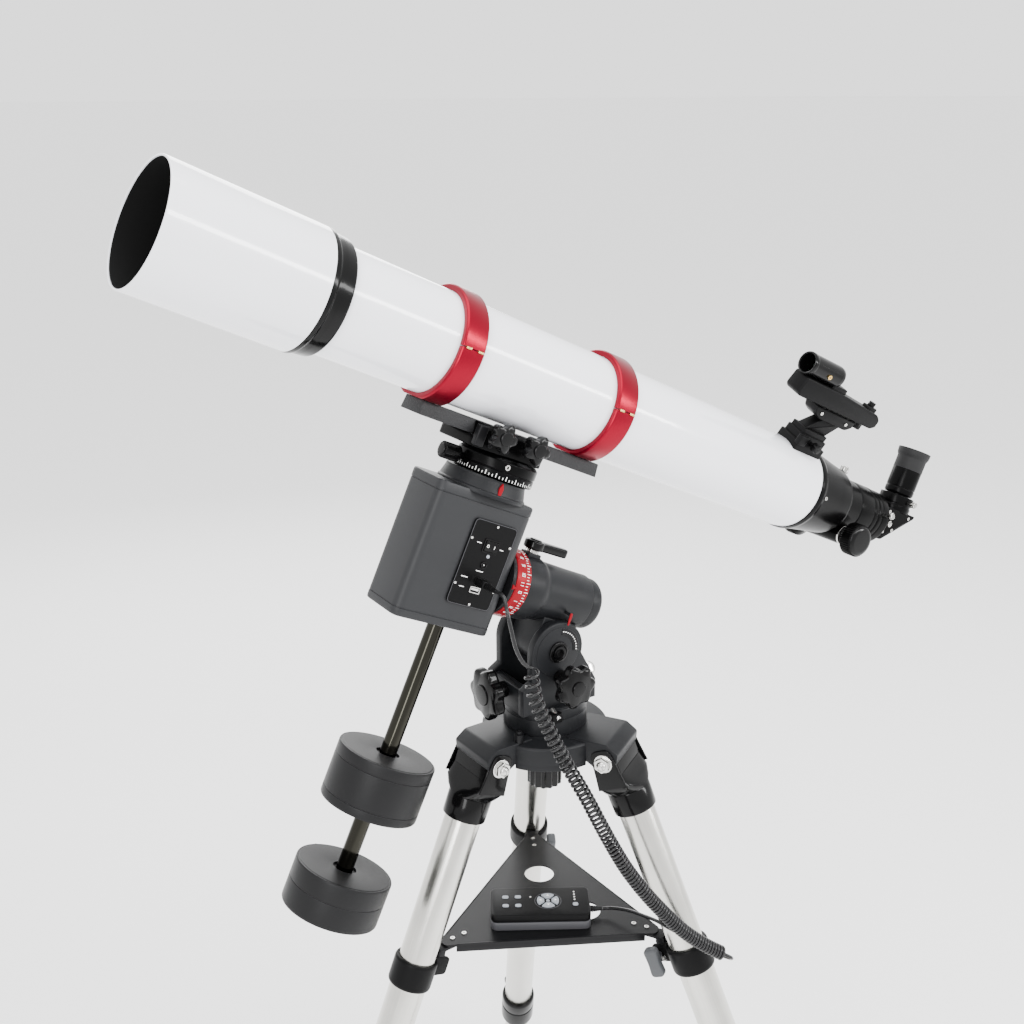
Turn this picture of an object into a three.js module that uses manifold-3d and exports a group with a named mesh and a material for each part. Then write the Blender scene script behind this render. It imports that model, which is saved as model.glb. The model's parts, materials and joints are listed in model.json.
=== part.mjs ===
// A refractor telescope on a motorised German equatorial mount, with two counterweights, a steel tripod
// with an accessory tray, and a hand controller on a curly cord. Millimetres, +Z up, tube's front towards -X.
import * as THREE from "three";
import { mergeVertices } from "three/addons/utils/BufferGeometryUtils.js";
import Module from "manifold-3d";

const wasm = await Module();
wasm.setup();

// ---------------------------------------------------------------- driving dimensions (mm, degrees)

const FIT = 0.3; // gap between pieces that touch
const LATITUDE = 25; // tilt of the polar axis above the horizon
const PIVOT = { x: -9.5, z: 1011 }; // altitude pivot, from the tripod's axis and the floor
const POLAR_PIVOT = { back: 146, up: -57.6 }; // the same pivot, seen from where the polar and declination axes cross

const TUBE = { axis: 227.4, radius: 57, wall: 1.5, front: -295, rear: 455 };
const DEW_SHIELD = { radius: 65.6, wall: 2.2, front: -468.9, rear: -298.3 };
const LENS_RADIUS = 51;
const CELL = { front: -332, rear: -272, lensFront: -328, lensRear: -312 };
const RING = { at: [-125, 94], radius: 64.5, half: 14.5, hingeUp: 232.4 };
const BAR = { front: -134, rear: 120, bottom: 150.4, top: 166, halfBottom: 22, halfTop: 19 };
const SADDLE = { front: -70, rear: 30, bottom: 138, floor: 150, top: 165.5, half: 38 };
const SADDLE_SCREWS = [-47.6, -0.5];

const DEC_AXIS = -4; // declination axis and counterweight shaft, along the polar axis
const DEC_HEAD = { radius: 47, bottom: 112, top: 137.7 };
const MOTOR_BOX = { front: -87, rear: 45.6, half: 36, bottom: -62.4, top: 94.1, corner: 9 };
const FLANGE_END = 51.2;
const PANEL = { half: 30, bottom: -33, top: 66.5, thick: 2 };
const SWITCH = { x: 1.6, up: 39.2, halfWide: 9, halfTall: 6.5 };
const SHAFT = { radius: 10, bottom: -431 };
const WEIGHTS = [
  { name: "counterweight_upper", top: -227, bottom: -293, lock: -262 },
  { name: "counterweight_lower", top: -371, bottom: -424, lock: -385 },
];
const WEIGHT_RADIUS = 58;

const HUB = { radius: 78, bottom: 878.4, top: 925 };
const LEG = { azimuths: [62.4, 182.4, 302.4], tilt: 22.3, radius: 22.4, startRadius: 63.4, startHeight: 950.6 };
const LEG_STATION = {
  socketTop: 70, hinge: 76, socketEnd: 154, ears: 348, tray: 357, lockTop: 822, tubeEnd: 878, lockEnd: 892,
};
const LOWER_LEG = { radius: 19, wall: 1.5, top: 240, footTop: 985, footRadius: 21 };
const TRAY = { top: 640.6, thick: 2.5, lip: 10, cornerReach: 156, cornerHalf: 6, holeRadius: 19.7, holeAt: 57.5 };
const CONTROLLER = { x: -24.3, y: -27.1, turn: -31, length: 126, width: 60, height: 22 };
const KEY = { ringX: 10, ringRadius: 9.5, half: 3.8, proud: 1.8, depth: 4.5 };

const CORD = { lead: 2.2, coil: 9 }; // radii of the plain lead and of the curly stretch
const PLUG = { x: 0.3, up: -1.3, radius: 6, start: -38.8, neck: -60, end: -78 };

const rad = THREE.MathUtils.degToRad;

// ---------------------------------------------------------------- materials

const finish = (color, roughness, metalness) => new THREE.MeshStandardMaterial({ color, roughness, metalness });
const WHITE_PAINT = finish(0xf2f3f6, 0.22, 0.1);
const BLACK_GLOSS = finish(0x0b0b0d, 0.2, 0.1);
const BLACK_MATTE = finish(0x161618, 0.55, 0.1);
const CHARCOAL = finish(0x2b2c31, 0.6, 0.1);
const CRIMSON = finish(0xa3142a, 0.35, 0.7);
const DIAL_RED = finish(0xc01a22, 0.35, 0.4);
const STEEL = finish(0xc9cbcf, 0.28, 1);
const CHROME = finish(0xe6e7ea, 0.08, 1);
const CAST_GREY = finish(0x3a3b40, 0.5, 0.6);
const GLASS = finish(0x3d5a50, 0.05, 0);
const KEY_GREY = finish(0x8c8f96, 0.5, 0);
const CORD_BLACK = finish(0x0e0e10, 0.3, 0);

// ---------------------------------------------------------------- solids

// A closed three.js geometry as a solid, with its faces turned outwards.
function solid(geometry) {
  const bare = geometry.clone();
  bare.deleteAttribute("normal");
  bare.deleteAttribute("uv");
  const merged = mergeVertices(bare, 1e-3);
  const points = merged.getAttribute("position");
  const corner = [new THREE.Vector3(), new THREE.Vector3(), new THREE.Vector3()];
  const kept = [];
  let volume = 0;
  for (let i = 0; i < merged.index.count; i += 3) {
    const ids = [0, 1, 2].map((k) => merged.index.getX(i + k));
    if (new Set(ids).size < 3) continue;
    ids.forEach((id, k) => corner[k].fromBufferAttribute(points, id));
    volume += corner[0].dot(corner[1].clone().cross(corner[2]));
    kept.push(ids);
  }
  const triVerts = new Uint32Array(kept.flatMap((ids) => (volume < 0 ? [ids[0], ids[2], ids[1]] : ids)));
  const vertProperties = new Float32Array(points.array);
  return new wasm.Manifold(new wasm.Mesh({ numProp: 3, vertProperties, triVerts }));
}

const joined = (first, ...rest) => rest.reduce((sum, next) => sum.add(next), first);
const carved = (body, ...tools) => tools.reduce((left, tool) => left.subtract(tool), body);

// Turns a geometry made along +Y so that its length runs along the named axis.
function along(axis, geometry) {
  if (axis === "x") geometry.rotateZ(-Math.PI / 2);
  if (axis === "z") geometry.rotateX(Math.PI / 2);
  return geometry;
}

function rod(axis, radius, from, to, at = [0, 0, 0], sides = 20, endRadius = radius) {
  const geometry = new THREE.CylinderGeometry(endRadius, radius, to - from, sides);
  geometry.translate(0, (from + to) / 2, 0);
  return solid(along(axis, geometry).translate(...at));
}

// A turned piece: the outline is a closed list of [radius, distance along the axis].
function turned(axis, outline, at = [0, 0, 0], sides = 24) {
  const points = outline.map(([radius, place]) => new THREE.Vector2(radius, place));
  if (outline[0][0] > 0) points.push(points[0].clone());
  return solid(along(axis, new THREE.LatheGeometry(points, sides)).translate(...at));
}

function pipe(axis, outer, inner, from, to, at, sides) {
  return turned(axis, [[outer, from], [outer, to], [inner, to], [inner, from]], at, sides);
}

function block(x0, x1, y0, y1, z0, z1) {
  const geometry = new THREE.BoxGeometry(x1 - x0, y1 - y0, z1 - z0);
  return solid(geometry.translate((x0 + x1) / 2, (y0 + y1) / 2, (z0 + z1) / 2));
}

// A flat outline pulled straight along an axis: (y, z) along x, (x, z) along y, or (x, y) along z.
const PLANES = {
  x: new THREE.Matrix4().set(0, 0, 1, 0, 1, 0, 0, 0, 0, 1, 0, 0, 0, 0, 0, 1),
  y: new THREE.Matrix4().set(1, 0, 0, 0, 0, 0, -1, 0, 0, 1, 0, 0, 0, 0, 0, 1),
  z: new THREE.Matrix4(),
};

function prism(axis, shape, from, to, curveSegments = 5) {
  const geometry = new THREE.ExtrudeGeometry(shape, { depth: to - from, bevelEnabled: false, curveSegments });
  geometry.applyMatrix4(PLANES[axis]);
  if (axis === "x") geometry.translate(from, 0, 0);
  if (axis === "y") geometry.translate(0, to, 0);
  if (axis === "z") geometry.translate(0, 0, from);
  return solid(geometry);
}

const polygon = (...corners) => new THREE.Shape(corners.map(([a, b]) => new THREE.Vector2(a, b)));

function roundedRectangle(a0, a1, b0, b1, radius) {
  const shape = new THREE.Shape();
  shape.absarc(a1 - radius, b0 + radius, radius, -Math.PI / 2, 0);
  shape.absarc(a1 - radius, b1 - radius, radius, 0, Math.PI / 2);
  shape.absarc(a0 + radius, b1 - radius, radius, Math.PI / 2, Math.PI);
  shape.absarc(a0 + radius, b0 + radius, radius, Math.PI, 1.5 * Math.PI);
  return shape;
}

// A round outline whose radius swells and shrinks: the lobes of a star knob or the flutes of a grip.
function lobed(lobes, radius, swell, at = [0, 0], pointsPerLobe = 5) {
  const count = lobes * pointsPerLobe;
  const points = Array.from({ length: count }, (_, i) => {
    const turn = (2 * Math.PI * i) / count;
    const reach = radius - swell / 2 + (swell / 2) * Math.cos(lobes * turn);
    return new THREE.Vector2(at[0] + reach * Math.cos(turn), at[1] + reach * Math.sin(turn));
  });
  return new THREE.Shape(points);
}

const root = new THREE.Group();

function frameIn(parent, x, y, z) {
  const group = new THREE.Group();
  group.position.set(x, y, z);
  parent.add(group);
  return group;
}

function piece(parent, name, body, material) {
  const { vertProperties, triVerts } = body.getMesh();
  const geometry = new THREE.BufferGeometry();
  geometry.setAttribute("position", new THREE.BufferAttribute(new Float32Array(vertProperties), 3));
  geometry.setIndex(new THREE.BufferAttribute(new Uint32Array(triVerts), 1));
  geometry.computeVertexNormals();
  const mesh = new THREE.Mesh(geometry, material);
  mesh.name = name;
  parent.add(mesh);
  return mesh;
}

// ---------------------------------------------------------------- tripod

// A leg's own frame: the leg runs along -Z, +X is outwards and +Y is sideways.
function legFrame(azimuth) {
  const turn = rad(azimuth);
  const { startRadius, startHeight, tilt } = LEG;
  const group = frameIn(root, startRadius * Math.cos(turn), startRadius * Math.sin(turn), startHeight);
  group.rotation.set(0, -rad(tilt), turn, "ZYX");
  group.updateMatrixWorld(true);
  return group;
}

const legs = LEG.azimuths.map(legFrame);

// A solid given in the world's frame, moved into a leg's frame.
const intoLeg = (leg, geometry) => solid(geometry.applyMatrix4(leg.matrixWorld.clone().invert()));

const LUG = { inner: 27.2, outer: 35.2 };
const NUT = { radius: 9, end: 44 };

function legUpper(leg, index) {
  const s = LEG_STATION;
  const clampRadius = 27;
  const socket = turned("z", [
    [0, -s.socketTop], [20, -s.socketTop], [26, -s.socketTop - 12], [26, -s.socketEnd + 8],
    [24.2, -s.socketEnd], [0, -s.socketEnd],
  ], [0, 0, 0], 16);
  const tube = rod("z", LEG.radius, -s.tubeEnd, -s.socketEnd + 10, [0, 0, 0], 16);
  const lock = rod("z", 27, -s.lockEnd, -s.lockTop, [0, 0, 0], 16);
  const clamp = rod("z", clampRadius, -s.tray - 17, -s.tray + 17, [0, 0, 0], 16);
  const bolt = rod("y", 5, -LUG.outer - 2, LUG.outer + 2, [0, 0, -s.hinge], 10);
  const nuts = [-1, 1].map((side) => {
    const ends = [side * (LUG.outer + FIT), side * NUT.end].sort((a, b) => a - b);
    return rod("y", NUT.radius, ends[0], ends[1], [0, 0, -s.hinge], 6);
  });
  const ears = block(EARS.inner, EARS.outer, -EARS.half, EARS.half, -s.ears - 12, -s.ears + 12);
  const arm = trayArm(leg);
  const bore = rod("z", LEG.radius - 1.4, -s.tubeEnd + 6, -s.socketEnd - 20, [0, 0, 0], 16);
  const mouth = rod("z", LOWER_LEG.radius + FIT, -s.lockEnd - 1, -s.tubeEnd + 7, [0, 0, 0], 16);
  const body = carved(joined(socket, tube, lock, clamp, ears, bolt, ...nuts, arm), bore, mouth);
  piece(leg, `leg_upper_${index + 1}`, body, STEEL);
}

// The clamp's two ears reach inwards from the leg, and the tray clamp knob draws them together.
const EARS = { inner: -44, outer: -22, half: 10, knobX: -36 };

// The flat arm that carries a corner of the tray, from the clamp on the leg inwards under the tray.
const ARM = { inner: 112, half: 9, thick: 4 };

function trayArm(leg) {
  const turn = leg.rotation.z;
  const top = TRAY.top - TRAY.thick - FIT;
  const outer = LEG.startRadius + (LEG.startHeight - top) * Math.tan(rad(LEG.tilt)) - LEG.radius - 2;
  const geometry = new THREE.BoxGeometry(outer - ARM.inner, 2 * ARM.half, ARM.thick);
  geometry.translate((outer + ARM.inner) / 2, 0, top - ARM.thick / 2).rotateZ(turn);
  const web = new THREE.BoxGeometry(10, 2 * ARM.half, 26);
  web.translate(outer - 1, 0, top - 13).rotateZ(turn);
  return joined(intoLeg(leg, geometry), intoLeg(leg, web));
}

function legLower(leg, index) {
  const { radius, wall, top, footTop, footRadius } = LOWER_LEG;
  const tube = rod("z", radius, -footTop - 5, -top, [0, 0, 0], 16);
  const bore = rod("z", radius - wall, -footTop + 6, -top + 1, [0, 0, 0], 16);
  const foot = rod("z", footRadius, -footTop - 80, -footTop, [0, 0, 0], 16);
  const ground = intoLeg(leg, new THREE.BoxGeometry(2400, 2400, 400).translate(0, 0, -200));
  piece(leg, `leg_lower_${index + 1}`, carved(joined(tube, foot), bore, ground), STEEL);
}

function legKnobs(leg, index) {
  const lockAt = -(LEG_STATION.lockTop + LEG_STATION.lockEnd) / 2;
  const lockKnob = joined(
    prism("x", lobed(5, 15, 5, [0, lockAt], 4), 36, 50),
    rod("x", 4, 27 + FIT, 36.5, [0, 0, lockAt], 12),
  );
  piece(leg, `leg_lock_knob_${index + 1}`, lockKnob, BLACK_GLOSS);
  const trayAt = -LEG_STATION.ears;
  const { knobX, half } = EARS;
  const trayKnob = joined(
    prism("y", roundedRectangle(knobX - 8, knobX + 8, trayAt - 19, trayAt + 19, 7.5), -34, -22, 3),
    rod("y", 4, -23, -half - FIT, [knobX, 0, trayAt], 12),
  );
  piece(leg, `tray_clamp_knob_${index + 1}`, trayKnob, BLACK_GLOSS);
}

function tripodHub() {
  const skirt = 904;
  const boss = 22;
  const body = turned("z", [
    [0, HUB.top], [56, HUB.top], [58, HUB.top - 3], [58, 912], [HUB.radius, 906], [HUB.radius, HUB.bottom],
    [HUB.radius - 10, HUB.bottom], [HUB.radius - 14, skirt], [boss, skirt], [boss, HUB.bottom + 4], [0, HUB.bottom + 4],
  ], [0, 0, 0], 28);
  const lugShape = polygon([58, 903], [94, 903], [107, 894], [107, 884], [103, 873], [94, 867], [84, 869], [58, 880]);
  const lugs = LEG.azimuths.flatMap((azimuth) => [-1, 1].map((side) => {
    const geometry = new THREE.ExtrudeGeometry(lugShape, { depth: LUG.outer - LUG.inner, bevelEnabled: false });
    geometry.applyMatrix4(PLANES.y);
    geometry.translate(0, side > 0 ? LUG.outer : -LUG.inner, 0);
    return solid(geometry.rotateZ(rad(azimuth)));
  }));
  const caps = LEG.azimuths.map((azimuth) => {
    const geometry = new THREE.BoxGeometry(46, 2 * LUG.outer, 8).translate(73, 0, 899);
    return solid(geometry.rotateZ(rad(azimuth)));
  });
  const hinges = legs.flatMap((leg) => {
    const place = (geometry) => solid(geometry.applyMatrix4(leg.matrixWorld));
    const hole = new THREE.CylinderGeometry(5.5 + FIT, 5.5 + FIT, 90, 10).translate(0, 0, -LEG_STATION.hinge);
    const room = new THREE.CylinderGeometry(26.8, 26.8, 220, 16).rotateX(Math.PI / 2).translate(0, 0, -179);
    return [place(hole), place(room)];
  });
  const screwHole = rod("z", 6 + FIT, HUB.bottom - 10, HUB.bottom + 34, [0, 0, 0], 16);
  piece(root, "tripod_hub", carved(joined(body, ...lugs, ...caps), ...hinges, screwHole), BLACK_MATTE);
}

function hubKnob() {
  const grip = prism("z", lobed(10, 21, 2.4, [0, 0], 3), 815, 862);
  const screw = rod("z", 6, 861, 908, [0, 0, 0], 16);
  piece(root, "hub_center_knob", joined(grip, screw), BLACK_GLOSS);
}

function traySheet() {
  const shape = new THREE.Shape();
  const half = TRAY.cornerHalf;
  LEG.azimuths.forEach((azimuth, i) => {
    for (const side of [-1, 1]) {
      const a = rad(azimuth);
      const x = TRAY.cornerReach * Math.cos(a) - side * half * Math.sin(a);
      const y = TRAY.cornerReach * Math.sin(a) + side * half * Math.cos(a);
      if (i === 0 && side < 0) shape.moveTo(x, y);
      else shape.lineTo(x, y);
    }
  });
  for (const azimuth of LEG.azimuths) {
    const hole = new THREE.Path();
    const turn = rad(azimuth);
    hole.absarc(TRAY.holeAt * Math.cos(turn), TRAY.holeAt * Math.sin(turn), TRAY.holeRadius, 0, 2 * Math.PI);
    shape.holes.push(hole);
  }
  return shape;
}

function accessoryTray() {
  const sheet = prism("z", traySheet(), TRAY.top - TRAY.thick, TRAY.top, 9);
  const lips = LEG.azimuths.map((azimuth) => {
    const reach = TRAY.cornerReach * Math.cos(rad(60)) + TRAY.cornerHalf * Math.sin(rad(60));
    const lip = new THREE.BoxGeometry(TRAY.thick, 226, TRAY.lip);
    lip.translate(reach - TRAY.thick / 2 - 0.1, 0, TRAY.top - TRAY.lip / 2 - 0.5);
    return solid(lip.rotateZ(rad(azimuth + 60)));
  });
  piece(root, "accessory_tray", joined(sheet, ...lips), BLACK_MATTE);
}

// ---------------------------------------------------------------- hand controller

function handController() {
  const frame = frameIn(root, CONTROLLER.x, CONTROLLER.y, TRAY.top + FIT);
  frame.rotation.z = rad(CONTROLLER.turn);
  const { length, width, height } = CONTROLLER;
  const shell = prism("z", roundedRectangle(-length / 2, length / 2, -width / 2, width / 2, 8), 0, height, 3);
  const relief = rod("x", 5, length / 2 - 1, length / 2 + 16, [0, 0, 9], 12, 3);
  const { half, ringX, ringRadius, proud, depth } = KEY;
  const places = { up: [0, 1], left: [-1, 0], down: [0, -1], right: [1, 0] };
  const keyShape = (grow, [x, y]) => roundedRectangle(
    ringX + x * ringRadius - half - grow, ringX + x * ringRadius + half + grow,
    y * ringRadius - half - grow, y * ringRadius + half + grow, 2.5,
  );
  const pockets = Object.values(places).map((at) => prism("z", keyShape(0.3, at), height - depth, height + 1, 2));
  piece(frame, "controller_case", carved(joined(shell, relief), ...pockets), BLACK_MATTE);
  for (const [name, at] of Object.entries(places)) {
    const key = prism("z", keyShape(0, at), height - depth + 1.8, height + proud, 2);
    piece(frame, `controller_key_${name}`, key, KEY_GREY);
  }
}

// ---------------------------------------------------------------- azimuth base

const BASE = { bottom: HUB.top + FIT, floor: 945, wallInner: 28.7, wallOuter: 41, front: -58, rear: 47 };
const ALT_KNOB = { x: -8, z: 979 };

function azimuthBase() {
  const cheeks = new THREE.Shape();
  cheeks.moveTo(BASE.rear, 936);
  cheeks.lineTo(BASE.rear, 962);
  cheeks.absarc(PIVOT.x, PIVOT.z, 36, rad(-15), rad(180));
  cheeks.lineTo(-45.5, 978);
  cheeks.lineTo(BASE.front, 970);
  cheeks.lineTo(BASE.front, 936);
  const walls = prism("y", cheeks, -BASE.wallOuter, BASE.wallOuter, 8);
  const foot = turned("z", [
    [0, BASE.bottom], [51, BASE.bottom], [51, 934], [49, 940], [0, 940],
  ], [0, 0, 0], 28);
  const slot = block(-90, 90, -BASE.wallInner, BASE.wallInner, 972, 1100);
  const well = block(-44, 34, -BASE.wallInner, BASE.wallInner, BASE.floor, 973);
  const pinHole = rod("y", 8.3, -60, 60, [PIVOT.x, 0, PIVOT.z], 20);
  const knobHole = rod("y", 4.4, -60, -20, [ALT_KNOB.x, 0, ALT_KNOB.z], 12);
  const frontHole = rod("x", 6.4, -80, -40, [0, 0, 959], 14);
  const rearHole = rod("x", 5.4, 25, 60, [0, 0, 954], 14);
  const holes = [pinHole, knobHole, frontHole, rearHole];
  piece(root, "azimuth_base", carved(joined(walls, foot), slot, well, ...holes), CAST_GREY);
}

function altitudeHardware() {
  const bolt = joined(rod("x", 5, 36, 63, [0, 0, 954], 12), rod("x", 9, 62, 72, [0, 0, 954], 6));
  piece(root, "altitude_bolt", bolt, CHROME);
  const front = joined(
    prism("x", lobed(7, 29, 6, [0, 959], 4), -90, -74),
    rod("x", 9, -75, BASE.front - FIT, [0, 0, 959], 14),
    rod("x", 6, -59, -46, [0, 0, 959], 14),
  );
  piece(root, "altitude_adjust_knob", front, BLACK_GLOSS);
  const clamp = joined(
    prism("y", lobed(7, 24, 5, [ALT_KNOB.x, ALT_KNOB.z], 4), -82, -66),
    rod("y", 9, -67, -BASE.wallOuter - FIT, [ALT_KNOB.x, 0, ALT_KNOB.z], 14),
    rod("y", 4, -45, -31, [ALT_KNOB.x, 0, ALT_KNOB.z], 12),
  );
  piece(root, "altitude_clamp_knob", clamp, BLACK_GLOSS);
}

// ---------------------------------------------------------------- polar axis

// The polar frame: origin where the polar and declination axes cross, +X down the polar axis, +Z up the other one.
const tilt = rad(LATITUDE);
const polar = frameIn(
  root,
  PIVOT.x - POLAR_PIVOT.back * Math.cos(tilt) - POLAR_PIVOT.up * Math.sin(tilt),
  0,
  PIVOT.z + POLAR_PIVOT.back * Math.sin(tilt) - POLAR_PIVOT.up * Math.cos(tilt),
);
polar.rotation.y = tilt;

const CIRCLE = { from: 52.3, to: 73, inner: 33, outer: 41 };
const RA_BORE = 14.5;
const LEVER = { pivot: 88, tip: 138, bottom: 46, top: 57 };

function polarHousing() {
  const body = turned("x", [
    [0, 197], [29, 197], [31.5, 194], [31.5, 181], [34, 178], [34, 106], [39, 100], [39, CIRCLE.to + FIT],
    [CIRCLE.inner - FIT, CIRCLE.to + FIT], [CIRCLE.inner - FIT, 52], [RA_BORE, 52], [RA_BORE, 184], [0, 184],
  ]);
  const lugShape = new THREE.Shape();
  lugShape.moveTo(118, -20);
  lugShape.absarc(POLAR_PIVOT.back, POLAR_PIVOT.up, 25, Math.PI, 2 * Math.PI);
  lugShape.lineTo(174, -20);
  const lug = prism("y", lugShape, -26, 26, 8);
  const pivotAt = [POLAR_PIVOT.back, 0, POLAR_PIVOT.up];
  const pin = rod("y", 8, -45, 45, pivotAt, 20);
  const head = BASE.wallOuter + FIT;
  const heads = [[-46, -head], [head, 46]].map(([from, to]) => rod("y", 12, from, to, pivotAt, 20));
  const pad = block(76, 98, -9, 9, 34, LEVER.bottom - FIT);
  const bore = rod("x", RA_BORE, 52, 184, [0, 0, 0], 24);
  piece(polar, "polar_axis_housing", carved(joined(body, lug, pin, ...heads, pad), bore), CAST_GREY);
}

function settingCircle() {
  piece(polar, "polar_setting_circle", pipe("x", CIRCLE.outer, CIRCLE.inner, CIRCLE.from, CIRCLE.to), DIAL_RED);
}

function clutchLever() {
  const shape = new THREE.Shape();
  shape.absarc(LEVER.pivot, 0, 13, rad(40), rad(320));
  shape.absarc(LEVER.tip - 7, 0, 7, rad(-90), rad(90));
  piece(polar, "polar_clutch_lever", prism("z", shape, LEVER.bottom, LEVER.top, 6), BLACK_GLOSS);
}

function polarShaft() {
  piece(polar, "polar_shaft", rod("x", RA_BORE - FIT, FLANGE_END + FIT, 182, [0, 0, 0], 20), STEEL);
}

// ---------------------------------------------------------------- motor unit and counterweights

function motorBox() {
  const { front, rear, half, bottom, top, corner } = MOTOR_BOX;
  const shell = prism("z", roundedRectangle(front, rear, -half, half, corner), bottom, top, 4);
  const neck = rod("z", 51, top - 1, DEC_HEAD.bottom - FIT, [DEC_AXIS - 8, 0, 0], 28, 47);
  const flange = rod("x", 42, rear - 1, FLANGE_END, [0, 0, 0], 28);
  const { x, up, halfWide, halfTall } = SWITCH;
  const well = block(x - halfWide, x + halfWide, -half - 1, -half + 6, up - halfTall, up + halfTall);
  piece(polar, "motor_box", carved(joined(shell, neck, flange), well), CHARCOAL);
}

function controlPanel() {
  const face = -MOTOR_BOX.half - FIT;
  const outline = roundedRectangle(-PANEL.half, PANEL.half, PANEL.bottom, PANEL.top, 6);
  const plate = prism("y", outline, face - PANEL.thick, face, 3);
  const { x, up, halfWide, halfTall } = SWITCH;
  const opening = block(x - halfWide, x + halfWide, face - 9, face + 9, up - halfTall, up + halfTall);
  piece(polar, "control_panel", carved(plate, opening), BLACK_MATTE);
  const rocker = polygon(
    [x - halfWide + 1, face + 0.5], [x, face + 4.5], [x + halfWide - 1, face + 0.5],
    [x + halfWide - 1, face - 4], [x, face - 2.9], [x - halfWide + 1, face - 3.4],
  );
  piece(polar, "power_switch", prism("z", rocker, up - halfTall + 0.4, up + halfTall - 0.4), BLACK_GLOSS);
}

function counterweightShaft() {
  const top = MOTOR_BOX.bottom - FIT;
  const at = [DEC_AXIS, 0, 0];
  piece(polar, "counterweight_shaft", rod("z", SHAFT.radius, SHAFT.bottom, top, at, 24), STEEL);
  const cap = rod("z", 14, SHAFT.bottom - 6, SHAFT.bottom - FIT, at, 24);
  piece(polar, "shaft_end_cap", cap, BLACK_MATTE);
}

function counterweight({ name, top, bottom, lock }) {
  const bevel = 3;
  const bore = SHAFT.radius + FIT;
  const body = turned("z", [
    [bore, top], [WEIGHT_RADIUS - bevel, top], [WEIGHT_RADIUS, top - bevel],
    [WEIGHT_RADIUS, bottom + bevel], [WEIGHT_RADIUS - bevel, bottom], [bore, bottom],
  ], [DEC_AXIS, 0, 0], 28);
  const knob = rod("y", 9, WEIGHT_RADIUS - 6, WEIGHT_RADIUS + 13, [DEC_AXIS, 0, lock], 12);
  piece(polar, name, joined(body, knob), BLACK_MATTE);
}

// ---------------------------------------------------------------- declination head and saddle

function declinationHead() {
  const { radius, bottom, top } = DEC_HEAD;
  const head = turned("z", [
    [0, bottom], [radius - 2, bottom], [radius, bottom + 2], [radius, top - 3], [radius - 3, top], [0, top],
  ], [DEC_AXIS, 0, 0], 28);
  piece(polar, "declination_head", head, BLACK_MATTE);
  const up = 123;
  const rim = DEC_AXIS - radius - FIT;
  const grip = prism("x", lobed(10, 8.5, 1.2, [0, up], 2), rim - 28, rim - 6);
  piece(polar, "declination_clutch_knob", joined(grip, rod("x", 4, rim - 7, rim, [0, 0, up], 12)), BLACK_GLOSS);
}

function saddle() {
  const { front, rear, bottom, floor, top, half } = SADDLE;
  const plate = prism("z", roundedRectangle(front, rear, -half, half, 7), bottom, floor, 3);
  const narrowing = (BAR.halfTop - BAR.halfBottom) / (BAR.top - BAR.bottom);
  const inner = (up) => BAR.halfBottom + FIT + narrowing * (up - BAR.bottom);
  const jaws = [-1, 1].map((side) => {
    const outline = [[inner(floor - 1), floor - 1], [half, floor - 1], [half - 3, top], [inner(top), top]];
    return prism("x", polygon(...outline.map(([y, up]) => [side * y, up])), front + 6, rear - 6);
  });
  const holes = SADDLE_SCREWS.map((x) => rod("y", 4.4, -half - 4, -18, [x, 0, 158], 12));
  piece(polar, "saddle", carved(joined(plate, ...jaws), ...holes), BLACK_MATTE);
  SADDLE_SCREWS.forEach((x, i) => {
    const knob = joined(prism("y", lobed(5, 15, 5, [x, 158], 5), -64, -50), rod("y", 4, -51, -24, [x, 0, 158], 12));
    piece(polar, `saddle_knob_${i + 1}`, knob, BLACK_MATTE);
  });
}

function dovetailBar() {
  const { front, rear, bottom, top, halfBottom, halfTop } = BAR;
  const section = polygon([-halfBottom, bottom], [halfBottom, bottom], [halfTop, top], [-halfTop, top]);
  piece(polar, "dovetail_bar", prism("x", section, front, rear), BLACK_MATTE);
}

function tubeRing(x, index) {
  const { radius, half, hingeUp } = RING;
  const at = [x, 0, TUBE.axis];
  const hoop = pipe("x", radius, TUBE.radius + FIT, -half, half, at, 32);
  const farEar = block(x - half, x + half, radius - 5, radius + 9, hingeUp - 10, hingeUp + 10);
  const hollow = rod("x", TUBE.radius + FIT, -half - 1, half + 1, at, 32);
  const whole = carved(joined(hoop, farEar), hollow);
  const above = block(x - 40, x + 40, -100, 100, hingeUp + 0.5, 400);
  const below = block(x - 40, x + 40, -100, 100, BAR.top + FIT, hingeUp - 0.5);
  piece(polar, `tube_ring_lower_${index + 1}`, whole.intersect(below), CRIMSON);
  piece(polar, `tube_ring_upper_${index + 1}`, whole.intersect(above), CRIMSON);
}

// ---------------------------------------------------------------- optical tube

const onTube = [0, 0, TUBE.axis];

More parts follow.
